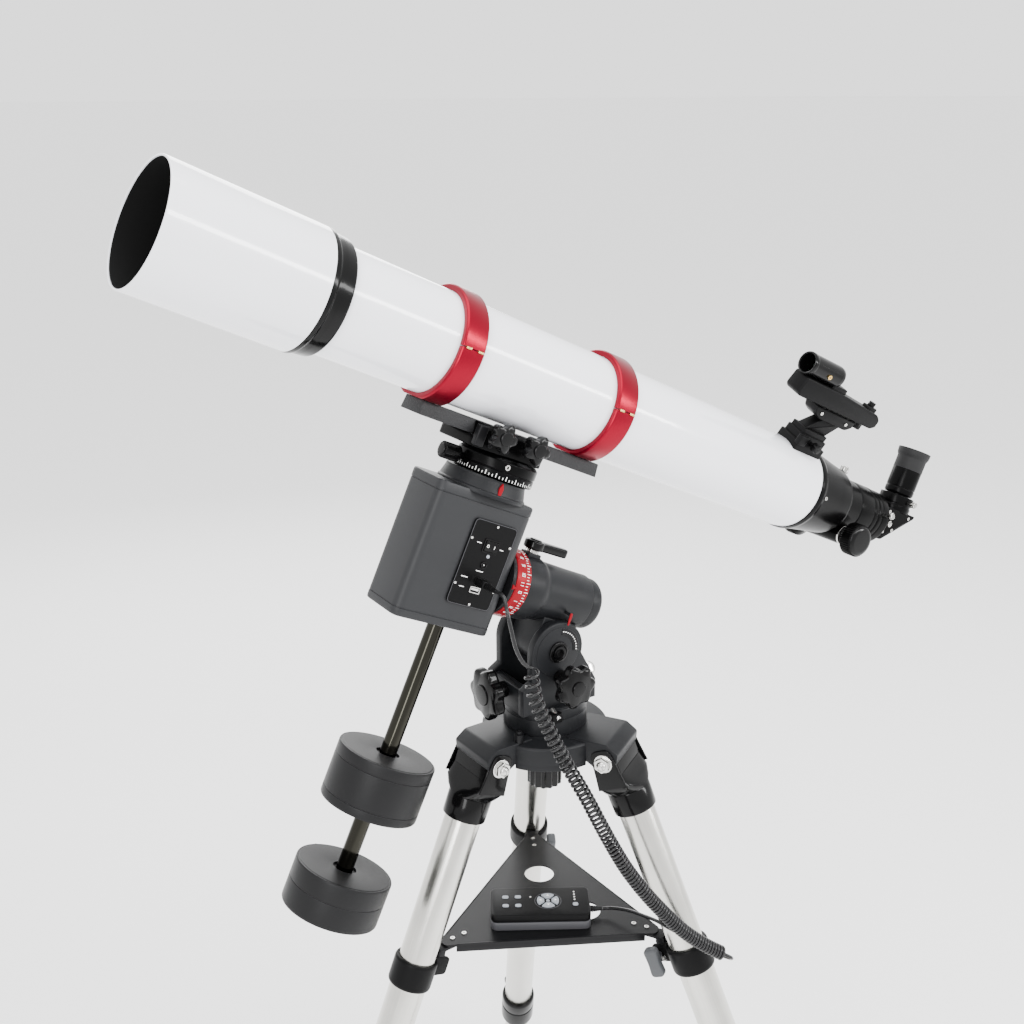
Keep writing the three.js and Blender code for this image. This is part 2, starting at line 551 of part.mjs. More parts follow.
function opticalTube() {
  const { radius, wall, front, rear } = TUBE;
  piece(polar, "main_tube", pipe("x", radius, radius - wall, front, rear, onTube, 32), WHITE_PAINT);
  const shield = DEW_SHIELD;
  const shieldPipe = pipe("x", shield.radius, shield.radius - shield.wall, shield.front, shield.rear, onTube, 32);
  piece(polar, "dew_shield", shieldPipe, WHITE_PAINT);
  const seat = LENS_RADIUS + 0.4;
  const sleeve = radius + FIT;
  const spigot = shield.radius - shield.wall - FIT;
  const cell = turned("x", [
    [sleeve, CELL.rear], [62, CELL.rear], [shield.radius, shield.rear + FIT], [spigot, shield.rear + FIT],
    [spigot, CELL.front], [47, CELL.front], [47, CELL.lensFront - 0.4], [seat, CELL.lensFront - 0.4],
    [seat, CELL.lensRear + 0.4], [49, CELL.lensRear + 0.4], [49, front - 2], [sleeve, front - 1],
  ], onTube, 32);
  piece(polar, "lens_cell", cell, BLACK_GLOSS);
  const lens = [];
  const rings = 3;
  for (let i = 0; i <= rings; i += 1) {
    lens.push([(LENS_RADIUS * i) / rings, CELL.lensFront + 3 * (i / rings) ** 2]);
  }
  for (let i = rings; i >= 0; i -= 1) {
    lens.push([(LENS_RADIUS * i) / rings, CELL.lensRear - 2 * (i / rings) ** 2]);
  }
  piece(polar, "objective_lens", turned("x", lens, onTube, 24), GLASS);
}

const FOCUSER = { pinionX: 559, pinionUp: TUBE.axis - 36.4, bore: 31.9, rear: 606 };

function focuser() {
  const body = turned("x", [
    [55.2, 438], [55.2, TUBE.rear + FIT], [57.8, TUBE.rear + FIT], [57.8, 463], [46, 536], [38.5, 541],
    [38.5, FOCUSER.rear], [FOCUSER.bore, FOCUSER.rear], [FOCUSER.bore, 538], [42, 532], [52.5, 460], [52.5, 438],
  ], onTube, 24);
  const pinion = [FOCUSER.pinionX, 0, FOCUSER.pinionUp];
  const housing = rod("y", 13, -36, 36, pinion, 14);
  const drawBore = rod("x", FOCUSER.bore, 500, 700, onTube, 24);
  const shaftHole = rod("y", 3.9, -40, 40, pinion, 10);
  piece(polar, "focuser_body", carved(joined(body, housing), drawBore, shaftHole), BLACK_GLOSS);

  const collar = [[36.5, 608], [38, 610], [38, 630], [36.5, 632]];
  const slide = FOCUSER.bore - 0.4;
  const draw = turned("x", [[slide, 500], [slide, 608], ...collar, [26, 632], [26, 500]], onTube, 24);
  piece(polar, "focuser_drawtube", draw, BLACK_MATTE);

  const knobs = [-1, 1].map((side) => {
    const [from, to] = side < 0 ? [-66, -38] : [38, 66];
    return prism("y", lobed(16, 22, 1, [FOCUSER.pinionX, FOCUSER.pinionUp], 2), from, to);
  });
  piece(polar, "focus_knobs", joined(rod("y", 3.5, -50, 50, pinion, 10), ...knobs), BLACK_GLOSS);
}

const DIAGONAL = { front: 640, rear: 703, bottom: 204, top: 252, half: 22, wall: 4 };
const EYEPIECE_X = (DIAGONAL.rear + 649.5) / 2;

function starDiagonal() {
  const { front, rear, bottom, top, half, wall } = DIAGONAL;
  const corner = 649.5;
  const outline = polygon([front, bottom], [corner, bottom], [rear, top - 2], [rear, top], [front, top]);
  const body = prism("y", outline, -half, half);
  const nose = rod("x", 25.6, 612, front + 1, onTube, 24);
  const holder = rod("z", 24, top - 1, 274, [EYEPIECE_X, 0, 0], 24);
  const inward = wall * Math.SQRT2;
  const room = prism("y", polygon(
    [600, bottom + wall], [corner - inward + wall, bottom + wall], [rear - inward, top], [rear - inward, 300], [600, 300],
  ), -half + wall, half - wall);
  const paths = joined(
    rod("x", 16.1, 600, EYEPIECE_X + 15, onTube, 24),
    rod("z", 16.1, TUBE.axis - 10, 280, [EYEPIECE_X, 0, 0], 24),
  );
  piece(polar, "star_diagonal", carved(joined(body, nose, holder), paths.intersect(room)), BLACK_MATTE);
  const eyepiece = turned("z", [
    [0, 256], [15.8, 256], [15.8, 274 + FIT], [19.5, 274 + FIT], [20.5, 277], [20.5, 330], [23, 333], [23, 341],
    [21.5, 341], [18, 335], [0, 335],
  ], [EYEPIECE_X, 0, 0], 24);
  piece(polar, "eyepiece", eyepiece, BLACK_MATTE);
}

// ---------------------------------------------------------------- finder

const FINDER = { lean: 19, tubeAt: 157, tubeRadius: 14.5 };

function finder() {
  const frame = frameIn(polar, 0, 0, TUBE.axis);
  frame.rotation.x = rad(FINDER.lean);
  const shoe = carved(
    joined(block(399, 453, -20, 20, 50, 76), block(404, 448, -14, 14, 75, 82)),
    rod("x", TUBE.radius + FIT, 380, 470, [0, 0, 0], 32),
  );
  const stem = prism("y", polygon([404, 80], [446, 80], [464, 104], [432, 104]), -9, 9);
  const cradle = prism("y", polygon([398, 117], [404, 106], [414, 101], [470, 101], [477, 108], [477, 117]), -13, 13);
  piece(frame, "finder_bracket", joined(shoe, stem, cradle), BLACK_MATTE);
  const body = prism("y", polygon(
    [352, 121], [356, 117.3], [506, 117.3], [513, 122], [513, 132], [505, 138], [420, 143], [354, 143],
  ), -14, 14);
  const tube = rod("x", FINDER.tubeRadius, 349, 412, [0, 0, FINDER.tubeAt], 24);
  const bore = rod("x", FINDER.tubeRadius - 2, 340, 420, [0, 0, FINDER.tubeAt], 24);
  piece(frame, "finder_sight", carved(joined(body, tube), bore), BLACK_MATTE);
}

// ---------------------------------------------------------------- controller cord

// A plain round stretch of cord along its route, given by points in the tripod's own frame.
function cordStretch(name, radius, route, steps, sides) {
  const path = new THREE.CatmullRomCurve3(route.map((point) => new THREE.Vector3(...point)), false, "centripetal");
  const section = new THREE.Shape();
  section.absarc(0, 0, radius, 0, 2 * Math.PI);
  const options = { steps, bevelEnabled: false, extrudePath: path, curveSegments: sides / 2 };
  piece(root, name, solid(new THREE.ExtrudeGeometry(section, options)), CORD_BLACK);
}

function controllerCord() {
  const { x, up, radius, start, neck, end } = PLUG;
  const plug = joined(rod("y", radius, neck, start, [x, 0, up], 16), rod("y", 3, end, neck + 1, [x, 0, up], 16, 5));
  piece(polar, "cord_plug", plug, BLACK_GLOSS);
  const route = {
    top: [
      [-118, -78.4, 1124], [-117, -92, 1122], [-119.5, -103, 1110], [-118.5, -109, 1092], [-114.5, -113, 1068],
      [-107, -115.5, 1051], [-101, -116, 1044.5],
    ],
    coil: [
      [-97, -116, 1040], [-93, -118, 1006], [-78, -126, 962], [-62, -134, 923], [-43, -144, 882], [-19, -157, 825],
      [2, -167, 781], [22, -178, 747], [44, -189, 716], [65, -200, 690], [88, -212, 669], [109, -223, 654],
    ],
    low: [
      [109.3, -223.2, 653.8], [117.5, -227.8, 648.3], [122.5, -224, 642], [121, -212, 638.5], [111, -200, 643],
      [96, -189, 654], [81, -178, 665], [72.5, -164, 669], [70, -144, 667.5], [67.5, -120, 662], [63, -97, 657],
      [55.5, -80, 652.8], [50, -72.1, 650.6], [44.1, -68.5, 650.1],
    ],
  };
  cordStretch("cord_lead_top", CORD.lead, route.top, 12, 8);
  cordStretch("cord_coil", CORD.coil, route.coil, 22, 8);
  cordStretch("cord_lead_low", CORD.lead, route.low, 22, 8);
}

// ---------------------------------------------------------------- assembly

tripodHub();
hubKnob();
legs.forEach((leg, index) => {
  legUpper(leg, index);
  legLower(leg, index);
  legKnobs(leg, index);
});
accessoryTray();
handController();
azimuthBase();
altitudeHardware();
polarHousing();
settingCircle();
clutchLever();
polarShaft();
motorBox();
controlPanel();
counterweightShaft();
WEIGHTS.forEach(counterweight);
declinationHead();
saddle();
dovetailBar();
RING.at.forEach(tubeRing);
opticalTube();
focuser();
starDiagonal();
finder();
controllerCord();

// The origin is under the middle of the object, on the floor, leaving the cord and its plug out of the measure.
root.updateMatrixWorld(true);
const extent = new THREE.Box3();
root.traverse((part) => {
  if (part.isMesh && !part.name.startsWith("cord_")) extent.expandByObject(part, true);
});
root.position.set(-(extent.min.x + extent.max.x) / 2, -(extent.min.y + extent.max.y) / 2, -extent.min.z);

export default root;
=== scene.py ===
"""A refractor telescope on a motorised equatorial mount, with a tripod, a tray, and a hand controller on a
curly cord.

Shapes are drawn in millimetres, each in the frame of the part that carries it, and come out in metres.
"""

import json
import math

import bmesh
import bpy
from mathutils import Matrix, Vector


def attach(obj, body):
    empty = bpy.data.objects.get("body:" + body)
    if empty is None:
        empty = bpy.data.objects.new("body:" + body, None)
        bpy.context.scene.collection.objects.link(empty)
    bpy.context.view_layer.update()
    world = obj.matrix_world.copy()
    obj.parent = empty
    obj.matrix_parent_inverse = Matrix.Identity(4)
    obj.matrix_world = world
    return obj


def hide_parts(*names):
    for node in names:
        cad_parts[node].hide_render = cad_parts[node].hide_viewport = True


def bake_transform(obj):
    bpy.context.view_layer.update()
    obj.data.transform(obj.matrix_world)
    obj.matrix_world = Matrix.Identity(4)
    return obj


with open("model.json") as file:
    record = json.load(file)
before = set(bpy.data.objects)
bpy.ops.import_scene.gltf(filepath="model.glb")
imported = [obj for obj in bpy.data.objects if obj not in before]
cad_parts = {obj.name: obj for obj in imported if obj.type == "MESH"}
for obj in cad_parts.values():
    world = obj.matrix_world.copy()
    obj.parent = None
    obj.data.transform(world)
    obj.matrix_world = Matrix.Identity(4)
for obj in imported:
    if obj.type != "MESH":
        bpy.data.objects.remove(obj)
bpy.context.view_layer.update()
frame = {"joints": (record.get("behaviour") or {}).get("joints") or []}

MM = 0.001
joints = {joint["name"]: joint for joint in frame["joints"]}


# ---------------------------------------------------------------- frames


def frame_at(origin, x_axis, z_axis):
    """A frame with its origin in metres and two of its directions."""
    x = Vector(x_axis).normalized()
    z = Vector(z_axis).normalized()
    turn = Matrix((x, z.cross(x), z)).transposed().to_4x4()
    return Matrix.Translation(origin) @ turn


def spin(angle, axis, at=(0, 0, 0)):
    """A turn by degrees about an axis through the origin, then a move to a place."""
    return Matrix.Translation(at) @ Matrix.Rotation(math.radians(angle), 4, axis)


def place_of(name):
    return Vector(joints[name]["pos_m"])


def axis_of(name):
    return Vector(joints[name]["axis"])


UP = Vector((0, 0, 1))
hub_place = place_of("hub_knob_turn")
TRIPOD = Matrix.Translation((hub_place.x, hub_place.y, 0))
POLAR = frame_at(place_of("right_ascension"), axis_of("right_ascension"), axis_of("declination"))
LEG_SLIDE_STATION = 0.9  # metres along a leg, where its slide joint is stated
LEGS = [
    frame_at(
        place_of(f"leg_{n}_slide") - axis_of(f"leg_{n}_slide") * LEG_SLIDE_STATION,
        axis_of(f"leg_{n}_lock_turn"),
        -axis_of(f"leg_{n}_slide"),
    )
    for n in (1, 2, 3)
]
SPOKES = [
    frame_at((hub_place.x, hub_place.y, 0), (axis_of(f"leg_{n}_slide").x, axis_of(f"leg_{n}_slide").y, 0), UP)
    for n in (1, 2, 3)
]

TUBE_AXIS = 227.4
FINDER_LEAN = 19
FINDER = POLAR @ spin(FINDER_LEAN, "X", (0, 0, TUBE_AXIS * MM))

key_right = place_of("key_right_press")
key_left = place_of("key_left_press")
CASE_HEIGHT = 22
KEY_RING_X = 10
case_x = (key_right - key_left).normalized()
case_centre = (key_right + key_left) / 2 - case_x * KEY_RING_X * MM - UP * CASE_HEIGHT * MM
CASE = frame_at(case_centre, case_x, UP)


# ---------------------------------------------------------------- materials


COAT_ROUGHNESS = 0.06
BLOTCH_SCALE = 22  # per metre, of the broad unevenness
GRAIN_DEPTH = 0.35  # as a share of the grain's size


def set_inputs(node, values):
    """Sets a node's inputs by their names, in which _ stands for a space."""
    for socket, value in values.items():
        node.inputs[socket.replace("_", " ")].default_value = value
    return node


def new_node(tree, kind, **values):
    return set_inputs(tree.nodes.new(kind), values)


def shader(name, **values):
    """A material and its principled shader, with some of the shader's inputs set."""
    look = bpy.data.materials.new(name)
    look.use_nodes = True
    return look, set_inputs(look.node_tree.nodes["Principled BSDF"], values)


def finish(name, base, rough, metal=0.0, coat=0.0, grain=0.0, size=0.0012, stretch=(1, 1, 1), wear=0.06,
           tone=0.12, sheen=0.22):
    """A painted, moulded or metal surface: fine grain in relief, uneven gloss and slightly uneven colour.

    size is the grain's in metres, stretch draws it out along an axis, wear is how far the roughness
    varies, tone how far the colour does, and sheen the strength of the plain reflection.
    """
    look, bsdf = shader(
        name, Base_Color=(*base, 1), Roughness=rough, Metallic=metal, Specular_IOR_Level=sheen,
        Coat_Weight=coat, Coat_Roughness=COAT_ROUGHNESS,
    )
    tree = look.node_tree
    link = tree.links.new
    place = new_node(tree, "ShaderNodeTexCoord")
    drawn = new_node(tree, "ShaderNodeMapping", Scale=[1 / (size * s) for s in stretch])
    link(place.outputs["Object"], drawn.inputs["Vector"])
    fine = new_node(tree, "ShaderNodeTexNoise", Scale=1, Detail=4)
    link(drawn.outputs["Vector"], fine.inputs["Vector"])
    broad = new_node(tree, "ShaderNodeTexNoise", Scale=BLOTCH_SCALE, Detail=5)
    link(place.outputs["Object"], broad.inputs["Vector"])

    # The mean of the fine and the broad noise drives both the gloss and the colour.
    both = tree.nodes.new("ShaderNodeMath")
    both.operation = "MULTIPLY_ADD"
    both.inputs[1].default_value = 0.5
    half = tree.nodes.new("ShaderNodeMath")
    half.operation = "MULTIPLY"
    half.inputs[1].default_value = 0.5
    link(fine.outputs["Fac"], both.inputs[0])
    link(broad.outputs["Fac"], half.inputs[0])
    link(half.outputs[0], both.inputs[2])

    gloss = new_node(tree, "ShaderNodeMapRange", To_Min=max(rough - wear, 0.02), To_Max=min(rough + wear, 1))
    link(both.outputs[0], gloss.inputs["Value"])
    link(gloss.outputs["Result"], bsdf.inputs["Roughness"])

    shades = tree.nodes.new("ShaderNodeMix")
    shades.data_type = "RGBA"
    shades.inputs["A"].default_value = (*(c * (1 - tone) for c in base), 1)
    shades.inputs["B"].default_value = (*(min(c * (1 + tone), 1) for c in base), 1)
    link(both.outputs[0], shades.inputs["Factor"])
    link(shades.outputs["Result"], bsdf.inputs["Base Color"])

    if grain:
        relief = new_node(tree, "ShaderNodeBump", Strength=grain, Distance=size * GRAIN_DEPTH)
        link(fine.outputs["Fac"], relief.inputs["Height"])
        link(relief.outputs["Normal"], bsdf.inputs["Normal"])
    return look


def glass(name, base):
    """Clear coated glass, with a green reflection."""
    look, _ = shader(
        name, Base_Color=(*base, 1), Roughness=0.02, Transmission_Weight=0.85, Coat_Weight=0.6,
        Coat_Tint=(0.55, 0.9, 0.7, 1),
    )
    return look


# Each look, with the record's material slot that it stands for.
LOOKS = {
    "white": (finish("white_enamel", (0.885, 0.892, 0.935), 0.16, coat=0.7, size=0.002, grain=0.03, wear=0.03,
                     tone=0.02, sheen=0.5), "white_paint"),
    "mark": (finish("white_marking", (0.8, 0.8, 0.78), 0.5, size=0.0006), "white_paint"),
    "gloss": (
        finish("glossy_black", (0.002, 0.002, 0.0021), 0.18, coat=0.1, grain=0.05, size=0.0015, sheen=0.1),
        "gloss_black",
    ),
    "knob": (
        finish("black_knob", (0.003, 0.003, 0.0032), 0.22, coat=0.16, sheen=0.1, grain=0.08, size=0.0012),
        "gloss_black",
    ),
    "satin": (
        finish("satin_black", (0.005, 0.005, 0.0056), 0.36, sheen=0.14, grain=0.2, size=0.0006),
        "satin_black",
    ),
    "wrinkle": (
        finish("wrinkle_black", (0.014, 0.014, 0.015), 0.5, grain=1.0, size=0.0016, tone=0.9),
        "wrinkle_black",
    ),
    "charcoal": (
        finish("charcoal", (0.011, 0.0115, 0.013), 0.46, grain=0.5, size=0.0007, sheen=0.3),
        "charcoal",
    ),
    "casting": (
        finish("dark_casting", (0.0068, 0.0072, 0.0082), 0.42, grain=0.35, size=0.0008, sheen=0.17),
        "casting",
    ),
    "crimson": (finish("crimson_anodised", (0.22, 0.0025, 0.016), 0.3, 0.85, grain=0.12, size=0.0006,
                       stretch=(0.5, 4, 4)), "crimson"),
    "red": (
        finish("dial_red", (0.2, 0.002, 0.008), 0.34, 0.2, grain=0.1, size=0.0006, sheen=0.12),
        "dial_red",
    ),
    "steel": (finish("polished_steel", (0.64, 0.63, 0.59), 0.25, 1.0, grain=0.25, size=0.0012,
                     stretch=(1, 1, 80), wear=0.1, tone=0.25), "steel"),
    # Steel coloured dark as a painted dark reflection, as if it mirrored dark surroundings; used on the
    # counterweight shaft.
    "steel_painted_dark_reflection": (finish("steel_painted_dark_reflection", (0.028, 0.027, 0.022), 0.1, 1.0, grain=0.04, size=0.001,
                           stretch=(1, 1, 40), wear=0.05), "steel"),
    "chrome": (
        finish("chrome", (0.6, 0.595, 0.575), 0.12, 1.0, grain=0.05, size=0.0005, wear=0.05),
        "chrome",
    ),
    "brass": (finish("brass", (0.62, 0.43, 0.16), 0.22, 1.0, grain=0.08, size=0.0005), "chrome"),
    "iron": (
        finish("painted_iron", (0.0055, 0.0055, 0.006), 0.4, grain=0.5, size=0.001, sheen=0.18),
        "weight_iron",
    ),
    "anodised": (
        finish("anodised_black", (0.0015, 0.0015, 0.0016), 0.24, grain=0.12, size=0.0005, sheen=0.06),
        "anodised_black",
    ),
    "plastic": (
        finish("matte_plastic", (0.003, 0.003, 0.0032), 0.4, grain=0.3, size=0.0005, sheen=0.08),
        "case_black",
    ),
    "edge": (finish("case_lower", (0.05, 0.05, 0.055), 0.36, grain=0.25, size=0.0006), "case_black"),
    "grey": (finish("grey_plastic", (0.06, 0.0625, 0.067), 0.42, grain=0.2, size=0.0008), "gloss_black"),
    "key": (finish("key_grey", (0.3, 0.32, 0.35), 0.5, grain=0.2, size=0.0005), "key_grey"),
    "rubber": (finish("rubber", (0.008, 0.008, 0.0085), 0.6, grain=0.3, size=0.0008), "case_black"),
    "cord": (
        finish("cord_jacket", (0.006, 0.006, 0.0065), 0.26, coat=0.2, grain=0.15, size=0.0009),
        "cord_black",
    ),
    # Black of the dew shield's lining and the baffle, and painted shade on the disc that closes the tube.
    "dark": (
        finish("black_lining_and_painted_shade", (0.004, 0.004, 0.004), 0.7, grain=0.3, size=0.001, sheen=0.1),
        "satin_black",
    ),
    "glass": (glass("coated_glass", (0.55, 0.75, 0.66)), "lens_glass"),
}


# ---------------------------------------------------------------- shapes


def corner_points(before, corner, after, reach, steps):
    """A corner turned into a curve that leaves each side at most reach from it."""
    here = Vector(corner)
    sides = [Vector(before) - here, Vector(after) - here]
    ends = [here + side * min(reach / side.length, 0.48) for side in sides]
    curve = []
    for k in range(steps + 1):
        t = k / steps
        curve.append(tuple(ends[0] * (1 - t) ** 2 + here * 2 * t * (1 - t) + ends[1] * t * t))
    return curve


def rounded(outline, reach=0.0, steps=4, closed=True):
    """An outline of (a, b) or (a, b, reach) points with its corners turned into curves."""
    flat = [tuple(point[:2]) for point in outline]
    points = []
    for i, point in enumerate(outline):
        size = point[2] if len(point) > 2 else reach
        inner = closed or 0 < i < len(outline) - 1
        if size and inner:
            points += corner_points(flat[i - 1], flat[i], flat[(i + 1) % len(flat)], size, steps)
        else:
            points.append(flat[i])
    return points


def point_round(at, radius, angle):
    """A point of a flat outline, at a distance and an angle from another."""
    return (at[0] + radius * math.cos(angle), at[1] + radius * math.sin(angle))


def circle(radius, at=(0, 0), sides=48, start=0.0, end=2 * math.pi):
    """A circle, or an arc of one that includes both its ends."""
    swept = end - start
    count = sides if abs(swept) >= 2 * math.pi - 1e-6 else sides + 1
    return [point_round(at, radius, start + swept * i / sides) for i in range(count)]


def hexagon(radius, at=(0, 0), turn=0.0):
    return circle(radius, at, 6, math.radians(turn), math.radians(turn) + 2 * math.pi)


def rectangle(x0, x1, y0, y1, reach=0.0):
    return rounded([(x0, y0), (x1, y0), (x1, y1), (x0, y1)], reach)


def lobed(lobes, radius, swell, at=(0, 0), sides=112):
    """A star knob's outline: shallow hollows between rounded lobes."""
    points = []
    for i in range(sides):
        t = 2 * math.pi * i / sides
        points.append(point_round(at, radius + swell * math.cos(lobes * t), t))
    return points


STAR_STEPS = 12


def star_layers(lobes, radius, swell, at, axis, near, far, round_off):
    """The loops of a star knob with soft edges: each layer is a little smaller near the faces."""
    loops = []
    for k in range(STAR_STEPS + 1):
        t = k / STAR_STEPS
        ease = min(t, 1 - t) * abs(far - near) / round_off
        fall = 0 if ease >= 1 else 1 - math.sqrt(1 - (1 - ease) ** 2)
        outline = lobed(lobes, radius - round_off * fall, swell * (1 - 0.55 * fall), at)
        loops.append([oriented(axis, *p, near + (far - near) * t) for p in outline])
    return loops


def knurled(teeth, radius, depth, at=(0, 0)):
    """A grip's outline, with square grooves between the teeth."""
    points = []
    for i in range(teeth * 4):
        t = 2 * math.pi * i / (teeth * 4)
        points.append(point_round(at, radius - (depth if i % 4 in (2, 3) else 0), t))
    return points


def shrunk(outline, inset):
    """The outline moved inwards by inset."""
    if not inset:
        return outline
    points = [Vector(p) for p in outline]
    area = sum(a.x * b.y - b.x * a.y for a, b in zip(points, points[1:] + points[:1]))
    side = 1 if area > 0 else -1
    moved = []
    for i, point in enumerate(points):
        into = (point - points[i - 1]).normalized()
        out = (points[(i + 1) % len(points)] - point).normalized()
        normals = [Vector((-d.y, d.x)) * side for d in (into, out)]
        middle = normals[0] + normals[1]
        if middle.length < 1e-6:
            middle = normals[0]
        middle.normalize()
        moved.append(tuple(point + middle * inset / max(middle.dot(normals[0]), 0.6)))
    return moved


def oriented(axis, a, b, height):
    """A point of a flat outline, as (y, z) along x, (x, z) along y, or (x, y) along z."""
    return {"x": (height, a, b), "y": (a, height, b), "z": (a, b, height)}[axis]


def round_axis(axis, at, radius, angle, place):
    """A point at a distance and an angle round an axis, and a place along it."""
    return tuple(Vector(oriented(axis, *point_round((0, 0), radius, angle), place)) + Vector(at))


EDGE_ANGLES = (0, 0.52, 1.05, math.pi / 2)  # the steps of a rounded rim


def new_object(name, data):
    item = bpy.data.objects.new(name, data)
    bpy.context.scene.collection.objects.link(item)
    return item


class Shape:
    """Closed solids gathered into one piece, in millimetres."""

    def __init__(self):
        self.bm = bmesh.new()

    def skin(self, loops, ring=False):
        """Joins loops of points one after the other; with ring the last joins the first again."""
        rows = [[self.bm.verts.new(point) for point in loop] for loop in loops]
        pairs = list(zip(rows, rows[1:])) + ([(rows[-1], rows[0])] if ring else [])
        for low, high in pairs:
            count = max(len(low), len(high))
            for i in range(count):
                j = (i + 1) % count
                corners = [low[i % len(low)], low[j % len(low)], high[j % len(high)], high[i % len(high)]]
                self.bm.faces.new(list(dict.fromkeys(corners)))
        if not ring:
            for row in (rows[0], rows[-1]):
                if len(row) > 2:
                    self.bm.faces.new(row)
        return self

    def prism(self, outline, axis, low, high, edge=0.5):
        """A flat outline pulled straight along an axis, with its rims rounded over."""
        outline = rounded(outline)
        edge = min(edge, (high - low) * 0.45)
        steps = [(edge * (1 - math.sin(a)), edge * (1 - math.cos(a))) for a in EDGE_ANGLES]
        layers = [(low + rise, inset) for inset, rise in steps]
        layers += [(high - rise, inset) for inset, rise in reversed(steps)]
        loops = [[oriented(axis, *p, height) for p in shrunk(outline, inset)] for height, inset in layers]
        return self.skin(loops)

    def box(self, low, high, corner=1.0, edge=0.5):
        """A block between two corners; corner rounds its upright edges and edge its rims."""
        outline = rectangle(low[0], high[0], low[1], high[1], corner)
        return self.prism(outline, "z", low[2], high[2], edge)

    def lathe(self, profile, axis="z", at=(0, 0, 0), sides=72, soft=0.4):
        """A turned solid: (radius, place) points that start and end on the axis, or close on themselves."""
        ring = profile[0][0] > 0
        points = rounded(profile, soft, 3, closed=ring)
        loops = []
        for radius, place in points:
            count = 1 if radius < 1e-6 else sides
            loops.append([round_axis(axis, at, radius, 2 * math.pi * i / sides, place) for i in range(count)])
        return self.skin(loops, ring)

    def rod(self, radius, low, high, axis="z", at=(0, 0, 0), edge=0.4, sides=40):
        return self.lathe([(0, low), (radius, low), (radius, high), (0, high)], axis, at, sides, edge)

    def band(self, section, axis, at, start, end, steps):
        """A section of (radius, place) points swept round the axis from one angle to another, in degrees."""
        loops = []
        for i in range(steps + 1):
            t = math.radians(start + (end - start) * i / steps)
            loops.append([round_axis(axis, at, r, t, place) for r, place in section])
        return self.skin(loops)

    def sweep(self, points, radius, sides=8):
        """A round tube along a line of points."""
        line = [Vector(p) for p in points]
        across = (line[1] - line[0]).orthogonal().normalized()
        loops = []
        for i, point in enumerate(line):
            ahead = (line[min(i + 1, len(line) - 1)] - line[max(i - 1, 0)]).normalized()
            across = (across - ahead * across.dot(ahead)).normalized()
            other = ahead.cross(across)
            loops.append([
                tuple(point + (across * math.cos(t) + other * math.sin(t)) * radius)
                for t in (2 * math.pi * k / sides for k in range(sides))
            ])
        return self.skin(loops)

    def plate(self, outline, holes, axis, low, high):
        """A flat plate with holes through it."""
        edges = {low: [], high: []}
        for path in [outline, *holes]:
            rows = {}
            for height in (low, high):
                rows[height] = [self.bm.verts.new(oriented(axis, *p, height)) for p in path]
                count = len(path)
                edges[height] += [
                    self.bm.edges.new((rows[height][i], rows[height][(i + 1) % count])) for i in range(count)
                ]
            for i in range(count):
                j = (i + 1) % count
                self.bm.faces.new((rows[low][i], rows[low][j], rows[high][j], rows[high][i]))
        for height in (low, high):
            bmesh.ops.triangle_fill(self.bm, edges=edges[height], use_beauty=True, use_dissolve=False)
        return self

    def cut(self, tool):
        """Takes another shape's solid away from this one."""
        holders = []
        for shape in (self, tool):
            bmesh.ops.recalc_face_normals(shape.bm, faces=shape.bm.faces)
            mesh = bpy.data.meshes.new("cutting")
            shape.bm.to_mesh(mesh)
            shape.bm.free()
            holders.append(new_object("cutting", mesh))
        difference = holders[0].modifiers.new("cut", "BOOLEAN")
        difference.operation = "DIFFERENCE"
        difference.solver = "EXACT"
        difference.object = holders[1]
        depsgraph = bpy.context.evaluated_depsgraph_get()
        self.bm = bmesh.new()
        self.bm.from_mesh(holders[0].evaluated_get(depsgraph).to_mesh())
        for holder in holders:
            bpy.data.objects.remove(holder)
        return self

    def turn(self, matrix):
        bmesh.ops.transform(self.bm, matrix=matrix, verts=self.bm.verts)
        return self

    def join(self, other):
        """Takes in another shape's solids, which it then no longer has."""
        mesh = bpy.data.meshes.new("joining")
        other.bm.to_mesh(mesh)
        other.bm.free()
        self.bm.from_mesh(mesh)
        bpy.data.meshes.remove(mesh)
        return self

    def limit(self, low):
        """Flattens whatever reaches below a height onto it."""
        for vert in self.bm.verts:
            vert.co.z = max(vert.co.z, low)
        return self

    def make(self, name, space, look, body, nodes=()):
        """Turns the shape into a piece in a frame, riding a body and standing for nodes of the CAD."""
        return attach(self.unridden(name, space, look, nodes), body)

    def unridden(self, name, space, look, nodes=(), sharp=32):
        """The same, but the piece rides no body."""
        bmesh.ops.recalc_face_normals(self.bm, faces=self.bm.faces)
        mesh = bpy.data.meshes.new(name)
        self.bm.to_mesh(mesh)
        self.bm.free()
        mesh.transform(Matrix.Scale(MM, 4))
        mesh.polygons.foreach_set("use_smooth", [True] * len(mesh.polygons))
        mesh.set_sharp_from_angle(angle=math.radians(sharp))
        material, slot = LOOKS[look]
        mesh.materials.append(material)
        piece = new_object(name, mesh)
        piece.matrix_world = space
        if nodes:
            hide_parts(*nodes)
        return piece


# ---------------------------------------------------------------- camera, light and floor

CAMERA_PLACE = Vector((-791.4, -1167.7, 1639.5)) * MM + Vector((hub_place.x, hub_place.y, 0))
CAMERA_YAW, CAMERA_PITCH, CAMERA_ROLL = 32.52, -18.34, -0.24
LENS_LENGTH, SENSOR_WIDTH = 44.57, 36

camera_data = bpy.data.cameras.new("camera")
camera_data.lens = LENS_LENGTH
camera_data.sensor_width = SENSOR_WIDTH
camera = new_object("camera", camera_data)
camera.matrix_world = (
    spin(-CAMERA_YAW, "Z", CAMERA_PLACE) @ spin(90 + CAMERA_PITCH, "X") @ spin(CAMERA_ROLL, "Z")
)
bpy.context.scene.camera = camera


